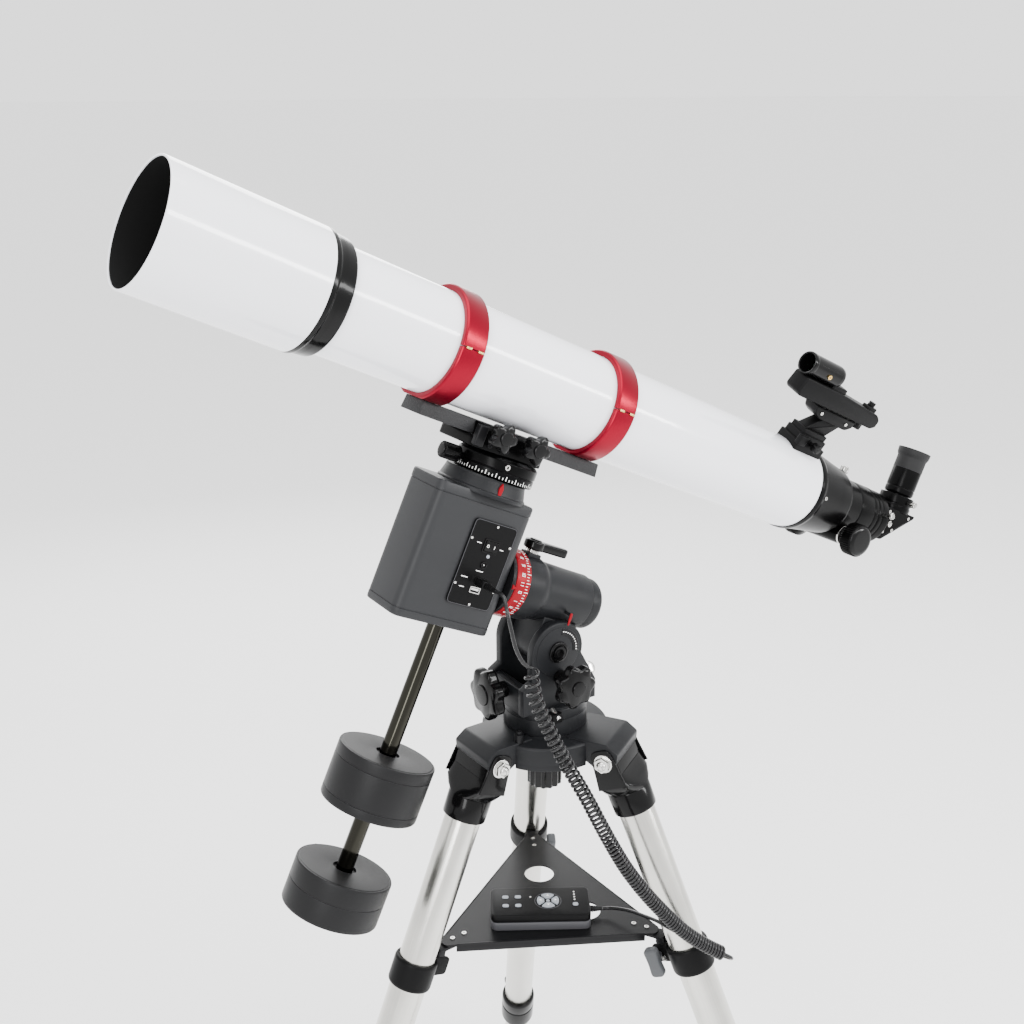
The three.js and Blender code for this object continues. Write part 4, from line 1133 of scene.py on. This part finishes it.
# Each digit is drawn on a grid two wide and four high, from these strokes.
DIGIT_APART, STROKE_WIDE = 3.4, 0.6
STROKES = {
    "top": ((-1, 2), (1, 2)), "middle": ((-1, 0), (1, 0)), "bottom": ((-1, -2), (1, -2)),
    "left_up": ((-1, 2), (-1, 0)), "left_low": ((-1, 0), (-1, -2)),
    "right_up": ((1, 2), (1, 0)), "right_low": ((1, 0), (1, -2)),
}
FIGURES = {
    0: "top bottom left_up left_low right_up right_low", 1: "right_up right_low",
    2: "top right_up middle left_low bottom", 3: "top right_up middle right_low bottom",
    4: "left_up middle right_up right_low", 5: "top left_up middle right_low bottom",
    6: "top left_up middle left_low right_low bottom", 7: "top right_up right_low",
    8: "top middle bottom left_up left_low right_up right_low",
    9: "top middle bottom left_up right_up right_low",
}


def dial_figure(number, radius, place, turn):
    """A number printed on a drum about x, each digit drawn with short straight strokes."""
    shape = Shape()
    digits = [int(d) for d in str(number)]
    half = STROKE_WIDE / 2
    for k, digit in enumerate(digits):
        offset = (k - (len(digits) - 1) / 2) * DIGIT_APART
        for stroke in FIGURES[digit].split():
            (a0, b0), (a1, b1) = STROKES[stroke]
            low = (offset + min(a0, a1) - half, place + min(b0, b1) - half)
            high = (offset + max(a0, a1) + half, place + max(b0, b1) + half)
            corners = [low, (high[0], low[1]), high, (low[0], high[1])]
            loops = []
            for r in (radius - PRINT_SUNK, radius + PRINT_PROUD):
                loops.append([
                    round_axis("x", (0, 0, 0), r, math.radians(turn) + a / radius, h) for a, h in corners
                ])
            shape.skin(loops)
    return shape


def clutch_lever():
    outline = [*circle(12.5, (LEVER_X, 0), 32, math.radians(40), math.radians(320)),
               *circle(7, (LEVER_TIP - 7, 0), 16, math.radians(-90), math.radians(90))]
    lever = Shape().prism(outline, "z", 46, 57, 2.6).rod(7.5, 56, 58.5, at=(LEVER_X, 0, 0), edge=1)
    lever.make("clutch_handle", POLAR, "gloss", "clutch_lever", ["polar_clutch_lever"])


polar_housing()
setting_circle()
clutch_lever()


# ---------------------------------------------------------------- motor unit

BOX_FRONT, BOX_REAR, BOX_HALF, BOX_LOW, BOX_HIGH = -87, 45.6, 36, -62.4, 94.1
PANEL_FACE = -36.3
JACK = (1.2, 0, 17.4)
SWITCH_X, SWITCH_UP = 1.6, 39.2
DEC_X = -4
NECK_X = DEC_X - 8


def motor_box():
    """The unit's box on the polar axis, and the neck under the declination head."""
    outline = rectangle(BOX_FRONT, BOX_REAR, -BOX_HALF, BOX_HALF, 12)
    seams = [
        (BOX_LOW, 2.4), (BOX_LOW + 0.7, 1), (BOX_LOW + 2.4, 0.2), (BOX_LOW + 9, 0), (BOX_LOW + 9.3, 0.8),
        (BOX_LOW + 10.1, 0.8), (BOX_LOW + 10.4, 0.3), (BOX_HIGH - 12.4, 0.3), (BOX_HIGH - 12.1, 1),
        (BOX_HIGH - 11.3, 1), (BOX_HIGH - 11, 0), (BOX_HIGH - 2.4, 0), (BOX_HIGH - 0.7, 0.9), (BOX_HIGH, 2.4),
    ]
    box = Shape().skin([[(x, y, up) for x, y in shrunk(outline, inset)] for up, inset in seams])
    well = Shape().box((SWITCH_X - 9.2, -40, SWITCH_UP - 6.7), (SWITCH_X + 9.2, -30, SWITCH_UP + 6.7), 0, 0)
    box.cut(well)
    box.make("motor_box_shell", POLAR, "charcoal", "motor_unit", ["motor_box"])
    neck = Shape().lathe([(0, 92), (52, 92), (52, 96.5, 1.5), (50.4, 97.5), (48.6, 104, 2), (47, 110, 1),
                          (47, 111.6), (0, 111.6)], at=(NECK_X, 0, 0), sides=128)
    neck.make("declination_neck", POLAR, "casting", "motor_unit")
    spindle = [(0, 45.4), (42.5, 45.4), (42.5, 49), (41, 51.6, 1), (14.4, 51.6), (14.4, 182), (0, 182)]
    flange = Shape().lathe(spindle, "x", sides=112)
    flange.make("polar_spindle", POLAR, "satin", "motor_unit", ["polar_shaft"])
    kite = [(-2, 97, 1), (2, 97, 1), (2.6, 105, 1), (0, 111), (-2.6, 105, 1)]
    pointer = Shape().prism(kite, "y", -51.4, -48, 0.6)
    pointer.turn(spin(-10, "Z", (NECK_X, 0, 0)))
    pointer.make("declination_pointer", POLAR, "red", "motor_unit")
    index = Shape().prism([(52.2, 0), (46.4, 3), (46.4, -3)], "y", -44, -41.6, 0.3)
    index.turn(spin(-4, "X"))
    index.make("hour_pointer", POLAR, "red", "motor_unit")


def control_panel():
    outline = rectangle(-30, 30, -33, 66.5, 6)
    window = rectangle(SWITCH_X - 9, SWITCH_X + 9, SWITCH_UP - 6.5, SWITCH_UP + 6.5)
    plate = Shape().plate(outline, [window], "y", PANEL_FACE - 1.8, PANEL_FACE + 0.1)
    plate.make("panel_plate", POLAR, "plastic", "motor_unit", ["control_panel"])
    face = PANEL_FACE - 1.8
    rim = Shape()
    rim.plate(shrunk(outline, 0.5), [shrunk(outline, 1.1)], "y", face - 0.25, face + 0.1)
    rim.make("panel_rim", POLAR, "edge", "motor_unit")
    frame_outline = rectangle(SWITCH_X - 10.4, SWITCH_X + 10.4, SWITCH_UP - 7.9, SWITCH_UP + 7.9, 1.5)
    bezel = Shape().plate(frame_outline, [window], "y", face - 1, face + 0.1)
    bezel.make("switch_bezel", POLAR, "gloss", "motor_unit")
    low, high = SWITCH_X - 8, SWITCH_X + 8
    rocker = [
        (low, PANEL_FACE + 0.4), (SWITCH_X, PANEL_FACE + 4), (high, PANEL_FACE + 0.4),
        (high, PANEL_FACE - 4, 0.6), (SWITCH_X, PANEL_FACE - 2.9, 5), (low, PANEL_FACE - 3.4, 0.6),
    ]
    key = Shape().prism(rocker, "z", SWITCH_UP - 6, SWITCH_UP + 6, 0.5)
    key.make("switch_key", POLAR, "gloss", "switch_rocker", ["power_switch"])
    signs = Shape()
    left, right = (SWITCH_X - 4.4, SWITCH_UP), (SWITCH_X + 4.4, SWITCH_UP)
    signs.plate(circle(1.7, left, 24), [circle(1.1, left, 24)], "y", PANEL_FACE - 3.4, PANEL_FACE - 2.8)
    signs.prism(rectangle(right[0] - 0.3, right[0] + 0.3, SWITCH_UP - 1.8, SWITCH_UP + 1.8), "y",
                PANEL_FACE - 3.75, PANEL_FACE - 3, 0)
    signs.make("switch_signs", POLAR, "mark", "switch_rocker")
    places = [(-27, 0, 43.5), (27, 0, 43.5), (-27, 0, -9.5), (27, 0, -9.5), (1.5, 0, 62.5), (1.5, 0, -29.5)]
    cap_screws("panel_screws", POLAR, "chrome", "motor_unit", "y", 1.5, face + 0.1, face - 0.8, places)
    dome = [(0, face), (2.2, face), (1.8, face - 1.4, 0.8), (0, face - 2)]
    lamp = Shape().lathe(dome, "y", (2.6, 0, 27.8), 28)
    lamp.make("power_lamp", POLAR, "key", "motor_unit")
    collar = [(4.2, face + 0.1), (4.2, face - 1.4), (3, face - 1.4), (3, face + 0.1)]
    jack = Shape().lathe(collar, "y", JACK, 36).rod(2.9, face - 0.4, face + 0.1, "y", JACK, 0.1)
    jack.make("power_jack", POLAR, "gloss", "motor_unit")
    ports = Shape().rod(0.8, face - 1, face, "y", JACK, 0.2, 16)
    x, up = 1.4, -12.4
    outer = rectangle(x - 7, x + 7, up - 3.6, up + 3.6, 1)
    inner = rectangle(x - 6.1, x + 6.1, up - 2.7, up + 2.7, 0.4)
    ports.plate(outer, [inner], "y", face - 1.2, face + 0.1)
    ports.make("panel_ports", POLAR, "chrome", "motor_unit")
    tongue = Shape().box((x - 5, face - 0.7, up - 0.3), (x + 5, face + 0.1, up + 1.8), 0, 0)
    tongue.make("port_tongue", POLAR, "mark", "motor_unit")
    labels = Shape()
    for x, up, wide in ((-15, 40.5, 6), (17.5, 38.5, 5), (-1, 9.4, 10), (-18, -0.4, 9), (-17, -11.8, 7)):
        labels.box((x - wide / 2, face - 0.12, up - 0.5), (x + wide / 2, face + 0.1, up + 0.5), 0.3, 0)
    labels.make("panel_marks", POLAR, "mark", "motor_unit")


# Each counterweight's top, bottom, the depths of its grooves and the height of its knob.
WEIGHTS = (("upper", -227, -293, (14, 55), -262), ("lower", -371, -424, (24,), -385))


def counterweights():
    at = (DEC_X, 0, 0)
    # The shaft's dark colour is a painted dark reflection on steel.
    shaft = Shape().rod(10, -431, -60, at=at, sides=72, edge=1)
    shaft.make("weight_shaft", POLAR, "steel_painted_dark_reflection", "motor_unit", ["counterweight_shaft"])
    cap = Shape().lathe([(0, -431.3), (14, -431.3, 0.6), (14, -435, 1), (12, -437), (0, -437)], at=at)
    cap.make("weight_stop", POLAR, "satin", "motor_unit", ["shaft_end_cap"])
    for name, top, low, groove, lock in WEIGHTS:
        side = [(58, top, 3)]
        for depth in groove:
            side += [(58, top - depth + 0.6), (57.3, top - depth), (58, top - depth - 0.6)]
        side.append((58, low, 3))
        disc = Shape().lathe([
            (10.3, top - 3), (14, top - 3), (14, top, 0.6), (54.5, top, 0.6), (55, top - 0.5), *side,
            (54.5, low), (10.3, low),
        ], at=at, sides=144, soft=0.2)
        disc.make(f"weight_{name}_disc", POLAR, "iron", f"weight_{name}", [f"counterweight_{name}"])
        knob = Shape().prism(lobed(3, 7.2, 1.6, (DEC_X, lock)), "y", 60, 70.5, 1.5)
        knob.rod(5, 56, 61, "y", (DEC_X, 0, lock))
        knob.make(f"weight_{name}_knob", POLAR, "knob", f"weight_{name}")


motor_box()
control_panel()
counterweights()


# ---------------------------------------------------------------- declination head and saddle

HEAD_RADIUS = 46.6
SADDLE_SCREWS, SCREW_UP = (-47.6, -0.5), 158


def declination_head():
    at = (DEC_X, 0, 0)
    head = Shape().lathe([
        (0, 112.1), (45, 112.1), (HEAD_RADIUS, 113.5, 0.6), (HEAD_RADIUS, 121.6, 0.4), (45.8, 122),
        (45.8, 122.8), (47, 123.2, 0.5), (47, 133.5, 1), (43, 137.6, 1), (0, 137.6),
    ], at=at, sides=144)
    head.make("declination_disc", POLAR, "anodised", "dec_head", ["declination_head"])
    marks = ticks("z", at, HEAD_RADIUS, 114, 118.8, 0.9)
    marks.make("declination_marks", POLAR, "mark", "dec_head")
    place = (DEC_X - 16, 0, 128.6)
    cap_screws("declination_screw", POLAR, "chrome", "dec_head", "y", 3.2, -43, -46.2, [place])
    rim = DEC_X - 47.3
    grip = Shape().prism(knurled(30, 9.5, 0.8, (0, 123)), "x", rim - 28, rim - 6, 1.2)
    grip.rod(4, rim - 7, rim, "x", (0, 0, 123)).rod(6.5, rim - 29, rim - 27, "x", (0, 0, 123), 0.8)
    grip.make("declination_clutch_grip", POLAR, "knob", "dec_clutch", ["declination_clutch_knob"])


def saddle():
    front, rear, half = -70, 30, 38
    plate = Shape().prism(rectangle(front, rear, -half, half, 9), "z", 138, 150, 1.6)
    plate.make("saddle_plate", POLAR, "anodised", "dec_head", ["saddle"])
    jaws = Shape()
    inner_low, inner_high = 22.3, 19.3
    for side in (-1, 1):
        jaw = [
            (side * inner_low, 149), (side * half, 149), (side * half, 161, 3), (side * (half - 4), 165.5, 2),
            (side * inner_high, 165.5, 0.8),
        ]
        jaws.prism(rounded(jaw), "x", front + 6, rear - 6, 1.2)
    holes = Shape()
    for x in SADDLE_SCREWS:
        holes.rod(4.6, -half - 6, -15, "y", (x, 0, SCREW_UP), 0)
    jaws.cut(holes)
    jaws.make("saddle_jaws", POLAR, "anodised", "dec_head")
    trim = Shape().box((front + 1, -half - 3, 140), (front + 13, -half + 6, 163), 2, 1.4)
    for x in (front + 22, front + 46, rear - 12):
        cap_screw(trim, "y", (x, 0, 144.4), 2.6, -half + 0.2, -half - 1.8)
    trim.make("saddle_clamp_block", POLAR, "satin", "dec_head")
    for n, x in enumerate(SADDLE_SCREWS, 1):
        knob = Shape().skin(star_layers(5, 14.6, 2.8, (x, SCREW_UP), "y", -64, -50, 4))
        knob.rod(8, -66.5, -62, "y", (x, 0, SCREW_UP), 1.6).rod(7, -51, -44, "y", (x, 0, SCREW_UP), 1)
        knob.make(f"saddle_grip_{n}", POLAR, "knob", f"saddle_screw_{n}", [f"saddle_knob_{n}"])
        stem = Shape().rod(4, -45, -24, "y", (x, 0, SCREW_UP))
        stem.make(f"saddle_stem_{n}", POLAR, "chrome", f"saddle_screw_{n}")


def dovetail():
    section = rounded([(-22, 150.4), (22, 150.4), (19, 166), (-19, 166)], 0.9, 3)
    bar = Shape().prism(section, "x", -134, 120, 0.8)
    bar.make("dovetail", POLAR, "wrinkle", "telescope", ["dovetail_bar"])
    cap_screws("dovetail_stops", POLAR, "chrome", "telescope", "z", 4, 166, 169, [(-128, 0, 0), (114, 0, 0)])


declination_head()
saddle()
dovetail()


# ---------------------------------------------------------------- tube rings

RING_PLACES = (-125, 94)
RING_HALF, RING_IN, RING_OUT = 14.5, 57.3, 64.5
SPLIT_UP = 232.4
SEAT_UP = 166.3  # just above the dovetail
CLAMP_SIDE = 66.5
AROUND = (0, 0, TUBE_AXIS)


def tube_rings():
    split = math.degrees(math.asin((SPLIT_UP - TUBE_AXIS) / 61))
    half_gap = 0.5
    for n, x in enumerate(RING_PLACES, 1):
        near, far = x - RING_HALF, x + RING_HALF
        section = rounded([
            (RING_IN, near), (RING_OUT - 1.6, near), (RING_OUT, near + 1.8), (RING_OUT, far - 1.8),
            (RING_OUT - 1.6, far), (RING_IN, far),
        ], 0.5, 2)
        ear_in, ear_out = 58.6, 73
        low_half = Shape().band(section, "x", AROUND, 180 - split + half_gap, 360 + split - half_gap, 120)
        low_half.box((near, ear_in, 222), (far, ear_out, SPLIT_UP - half_gap), 2, 1.2)
        low_half.limit(SEAT_UP)
        low_half.make(f"ring_cradle_{n}", POLAR, "crimson", "telescope", [f"tube_ring_lower_{n}"])
        high_half = Shape().band(section, "x", AROUND, split + half_gap, 180 - split - half_gap, 120)
        high_half.box((near, ear_in, SPLIT_UP + half_gap), (far, ear_out, 242), 2, 1.2)
        high_half.make(f"ring_clasp_{n}", POLAR, "crimson", f"ring_half_{n}", [f"tube_ring_upper_{n}"])
        knob = Shape().prism(knurled(26, 8, 0.7, (x, CLAMP_SIDE)), "z", 243, 252, 1)
        knob.rod(3, 240, 244, at=(x, CLAMP_SIDE, 0))
        knob.make(f"ring_clamp_{n}", POLAR, "chrome", f"ring_half_{n}")
        hinge = (0, -RING_OUT - 0.6, SPLIT_UP)
        pins = Shape()
        for offset in (-7.5, 7.5):
            pins.rod(1.5, x + offset - 3.2, x + offset + 3.2, "x", hinge, 0.5, 24)
        pins.make(f"ring_hinge_pins_{n}", POLAR, "brass", "telescope")
        places = [(x - 9, 0, 170.5), (x + 9, 0, 170.5)]
        cap_screws(f"ring_foot_screws_{n}", POLAR, "chrome", "telescope", "y", 2.4, -20, -25, places)


tube_rings()


# ---------------------------------------------------------------- optical tube

TUBE_FRONT, TUBE_REAR, TUBE_RADIUS = -295, 455, 57
SHIELD_FRONT, SHIELD_REAR, SHIELD_RADIUS = -468.9, -298.3, 65.6
LENS_FRONT, LENS_REAR, LENS_RADIUS = -328, -312, 51


def optical_tube():
    tube = Shape().lathe([
        (TUBE_RADIUS, TUBE_FRONT), (TUBE_RADIUS, TUBE_REAR), (TUBE_RADIUS - 1.5, TUBE_REAR),
        (TUBE_RADIUS - 1.5, TUBE_FRONT),
    ], "x", AROUND, 192, 0.3)
    tube.make("tube_body", POLAR, "white", "telescope", ["main_tube"])
    shield = Shape().lathe([
        (SHIELD_RADIUS - 0.3, SHIELD_FRONT, 0.5), (SHIELD_RADIUS, SHIELD_FRONT + 0.8),
        (SHIELD_RADIUS, SHIELD_REAR), (SHIELD_RADIUS - 2.2, SHIELD_REAR),
        (SHIELD_RADIUS - 2.2, SHIELD_FRONT, 0.5),
    ], "x", AROUND, 192, 0.3)
    shield.make("dew_shield_shell", POLAR, "white", "telescope", ["dew_shield"])
    liner = Shape().lathe([
        (SHIELD_RADIUS - 2.25, SHIELD_FRONT + 1.2), (SHIELD_RADIUS - 2.25, -332.5),
        (SHIELD_RADIUS - 2.9, -332.5), (SHIELD_RADIUS - 2.9, SHIELD_FRONT + 1.2),
    ], "x", AROUND, 160, 0.2)
    liner.make("dew_shield_liner", POLAR, "dark", "telescope")
    cell = Shape().lathe([
        (57.3, -272), (61, -272, 1.2), (62.4, -274, 1), (63, -284, 0.5), (63, -291, 1), (65.6, -293, 1),
        (65.6, -298, 0.4), (62.9, -298), (62.9, -332), (60, -332), (58, -329.5), (54, -329.5), (53, -331),
        (47, -331), (47, -328.3), (51.3, -328.3), (51.3, -311.7), (49, -311.7), (49, -297), (57.3, -296),
    ], "x", AROUND, 160, 0.3)
    cell.make("lens_cell_ring", POLAR, "gloss", "telescope", ["lens_cell"])
    steps = 10
    face = [(LENS_RADIUS * i / steps, LENS_FRONT + 3 * (i / steps) ** 2) for i in range(steps + 1)]
    back = [(LENS_RADIUS * i / steps, LENS_REAR - 2 * (i / steps) ** 2) for i in range(steps, -1, -1)]
    lens = Shape().lathe([*face, *back], "x", AROUND, 128, 0)
    lens.make("front_lens", POLAR, "glass", "telescope", ["objective_lens"])
    stop = Shape().lathe([(30, -180), (55.4, -180), (55.4, -178), (30, -178)], "x", AROUND, 96, 0.2)
    # A solid black disc across the tube near its rear: painted shade, so that the tube looks dark inside
    # through the lens.
    stop.rod(55.4, 430, 431, "x", AROUND, 0.2, 96)
    stop.make("tube_baffle_and_painted_shade_disc", POLAR, "dark", "telescope")


PINION_X, PINION_UP = 559, TUBE_AXIS - 36.4
DRAW_BORE = 31.9
LOCK_X, STUD_X, THUMB_X = 549, 470, 624  # the lock screw, the cone's studs and the drawtube's screws


def focuser():
    """The rack focuser: its cone, the pinion with a wheel on each side, and the drawtube."""
    body = Shape().lathe([
        (55.2, 438), (55.2, 455.3), (57.8, 455.3), (58, 463, 2), (56, 468, 2), (50, 508), (46.5, 534, 3),
        (42, 541, 2), (38.5, 543, 1), (38.5, 566, 0.4), (37.7, 566.6), (37.7, 569), (38.5, 569.6, 0.4),
        (38.5, 596, 0.4), (37.6, 596.6), (37.6, 599), (38.5, 599.6, 0.4), (38.5, 606, 0.8), (DRAW_BORE, 606),
        (DRAW_BORE, 538), (42, 532), (52.5, 460), (52.5, 438),
    ], "x", AROUND, 144, 0.4)
    body.make("focuser_cone", POLAR, "anodised", "telescope", ["focuser_body"])
    pinion = (PINION_X, 0, PINION_UP)
    arm = Shape().lathe([
        (4, -36), (11, -36, 1), (13, -33, 1), (13, 33, 1), (11, 36, 1), (4, 36),
    ], "y", pinion, 64, 0.4)
    arm.box((PINION_X - 14, -14, PINION_UP - 4), (PINION_X + 14, 14, PINION_UP + 10), 2, 1)
    arm.make("pinion_housing", POLAR, "anodised", "telescope")
    bright = Shape()
    for side in (-1, 1):
        collar = [(10.4, 34), (13.3, 34), (13.3, 31.5), (10.4, 31.5)]
        bright.lathe(mirrored(collar, side), "y", pinion, 56, 0.4)
    bright.rod(4, 264, 279, at=(LOCK_X, 0, 0), edge=0.5)
    bright.prism(knurled(22, 6, 0.6, (LOCK_X, 0)), "z", 272, 281, 0.8)
    for angle in (60, 180, 300):
        stud = Shape()
        cap_screw(stud, "z", (STUD_X, 0, 0), 2.4, 54.5, 57.2)
        bright.join(stud.turn(spin(angle - 90, "X", AROUND)))
    bright.make("focuser_bright_parts", POLAR, "chrome", "telescope")
    draw = Shape().lathe([
        (31.5, 500), (31.5, 608), (36.5, 608, 0.6), (38, 610, 0.6), (38, 615, 0.4), (37.2, 615.6),
        (37.2, 618), (38, 618.6, 0.4), (38, 630, 0.8), (36.5, 632), (26, 632), (26, 500),
    ], "x", AROUND, 128, 0.3)
    draw.make("drawtube_barrel", POLAR, "anodised", "drawtube", ["focuser_drawtube"])
    thumb = Shape()
    for angle in (50, 165):
        screw = Shape().rod(2.4, 37, 44, at=(THUMB_X, 0, 0))
        screw.prism(knurled(18, 4.6, 0.5, (THUMB_X, 0)), "z", 42, 49, 0.7)
        thumb.join(screw.turn(spin(angle - 90, "X", AROUND)))
    thumb.make("drawtube_thumbscrews", POLAR, "chrome", "drawtube")
    middle = (PINION_X, PINION_UP)
    wheels = Shape().rod(3.5, -50, 50, "y", pinion)
    caps = Shape()
    for side in (-1, 1):
        wheels.prism(knurled(44, 22.4, 1, middle), "y", *span(side, 45, 62), 1.4)
        hub = [(0, 38), (13, 38), (15, 40, 1), (21.4, 45.4, 1), (0, 45.4)]
        wheels.lathe(mirrored(hub, side), "y", pinion, 64)
        cap = [(0, 65.4), (15, 65.4, 1), (19.6, 64, 1.6), (20.6, 61.6), (0, 61.6)]
        caps.lathe(mirrored(cap, side), "y", pinion, 72)
    wheels.make("focus_wheels_grip", POLAR, "anodised", "focus_wheels", ["focus_knobs"])
    caps.make("focus_wheel_faces", POLAR, "gloss", "focus_wheels")


DIAGONAL_CORNER, DIAGONAL_REAR, DIAGONAL_TOP = 649.5, 703, 252
EYEPIECE_X = (DIAGONAL_REAR + DIAGONAL_CORNER) / 2


def star_diagonal():
    """The diagonal prism's housing, with an eyepiece in it."""
    outline = rounded([
        (640, 204, 2), (DIAGONAL_CORNER, 204, 3), (DIAGONAL_REAR, 248, 3), (DIAGONAL_REAR, DIAGONAL_TOP, 1),
        (640, DIAGONAL_TOP, 3),
    ])
    body = Shape().prism(outline, "y", -22, 22, 1.6)
    nose = [(0, 612), (25.2, 612, 0.6), (25.6, 613), (25.6, 632.4), (27, 633), (27, 641), (0, 641)]
    body.lathe(nose, "x", AROUND, 96)
    holder = (EYEPIECE_X, 0, 0)
    socket = [
        (0, 250), (24, 250), (24, 258, 0.5), (23, 258.6), (23, 261), (24, 261.6, 0.5), (24, 273, 1), (0, 274)
    ]
    body.lathe(socket, at=holder, sides=96)
    body.make("diagonal_body", POLAR, "anodised", "diagonal", ["star_diagonal"])
    hardware = Shape()
    for x, up in ((646, 246), (646, 216), (690, 246), (664, 222)):
        cap_screw(hardware, "y", (x, 0, up), 2.3, -21.8, -23.2)
    hardware.prism(knurled(18, 4.4, 0.5, (647, 229)), "y", -30, -23.4, 0.7)
    hardware.rod(2.2, -31, -23, "y", (EYEPIECE_X, 0, 266))
    hardware.prism(knurled(18, 4.4, 0.5, (EYEPIECE_X, 266)), "y", -36, -29, 0.7)
    hardware.make("diagonal_screws", POLAR, "chrome", "diagonal")
    eyepiece = Shape().lathe([
        (0, 256), (15.8, 256), (15.8, 274.4), (19, 274.4, 0.5), (20.5, 277, 0.6), (20.5, 283, 0.3),
        (19.9, 283.5), (19.9, 284.5), (20.5, 285, 0.3), (20.5, 312), (0, 312),
    ], at=holder, sides=96)
    eyepiece.make("eyepiece_barrel", POLAR, "anodised", "ocular", ["eyepiece"])
    cup = Shape().lathe([
        (14, 311.5), (20.6, 311.5), (20.6, 329, 1), (22.6, 333, 2), (23.2, 341, 0.8), (21.6, 341, 0.8),
        (18, 335, 2), (14, 333.5, 1),
    ], at=holder, sides=96)
    cup.make("eyecup", POLAR, "rubber", "ocular")
    eye = Shape().lathe([(0, 330), (14.2, 330), (14.2, 332.4), (0, 333.4)], at=holder, sides=64)
    eye.make("eye_lens", POLAR, "glass", "ocular")


optical_tube()
focuser()
star_diagonal()


# ---------------------------------------------------------------- finder

SIGHT_UP, SIGHT_RADIUS = 157, 14.5


def finder():
    """The red-dot finder on its shoe, drawn in its own leaning frame."""
    shoe = Shape().box((399, -20, 52), (453, 20, 66), 3, 1.5).box((402, -17, 64), (450, 17, 76), 3, 1.5)
    shoe.box((404, -14, 75), (448, 14, 83), 2, 1)
    shoe.box((397, -23.5, 62), (411, -15, 75), 2, 1)
    shoe.make("finder_shoe", FINDER, "plastic", "telescope", ["finder_bracket"])
    stem = Shape().prism(rounded([(404, 80), (446, 80), (464, 106), (430, 106)], 3), "y", -9, 9, 1.6)
    cradle = [(398, 116, 1), (403, 106, 3), (414, 101, 5), (468, 101, 4), (477, 108, 3), (477, 116, 1)]
    stem.prism(rounded(cradle), "y", -13, 13, 1.4)
    stem.make("finder_stem", FINDER, "plastic", "telescope")
    body = Shape().prism(rounded([
        (352, 122, 3), (357, 117.3, 3), (506, 117.3, 3), (513, 122, 2), (513, 132, 3), (505, 138, 4),
        (420, 143, 4), (354, 143, 3),
    ]), "y", -14, 14, 2.2)
    body.make("finder_body", FINDER, "plastic", "telescope", ["finder_sight"])
    at = (0, 0, SIGHT_UP)
    hood = Shape().lathe([
        (12.4, 350), (14.2, 349, 0.6), (15, 351, 0.6), (15, 355, 0.6), (SIGHT_RADIUS, 356.5),
        (SIGHT_RADIUS, 406, 1), (13.6, 411), (12.4, 411),
    ], "x", at, 80, 0.3)
    hood.make("finder_hood", FINDER, "gloss", "telescope")
    window = Shape().rod(12.4, 405, 407, "x", at, 0.2)
    window.make("finder_window", FINDER, "glass", "telescope")
    block = Shape().box((404, -11, 140), (432, 11, 149), 3, 2)
    block.box((486, -6, 135), (506, 6, 143), 3, 1.5)
    block.make("finder_rear_block", FINDER, "plastic", "telescope")
    knobs = Shape().prism(knurled(24, 8.4, 0.7, (492, 0)), "z", 108.5, 117.5, 1)
    knobs.prism(knurled(18, 4.8, 0.5, (496, 0)), "z", 142, 149, 0.8)
    knobs.prism(knurled(20, 6.2, 0.6, (424, 68)), "y", -34, -24, 1).rod(3, -25, -16, "y", (424, 0, 68))
    knobs.make("finder_adjusters", FINDER, "knob", "telescope")
    side, place = -SIGHT_RADIUS, (383, 0, SIGHT_UP - 2)
    cap_screws("finder_side_screw", FINDER, "brass", "telescope", "y", 3, side + 0.4, side - 1.8, [place])
    places = [(412, 0, 109), (462, 0, 109)]
    cap_screws("finder_cradle_screws", FINDER, "chrome", "telescope", "y", 2.2, -12.8, -14.4, places)


finder()
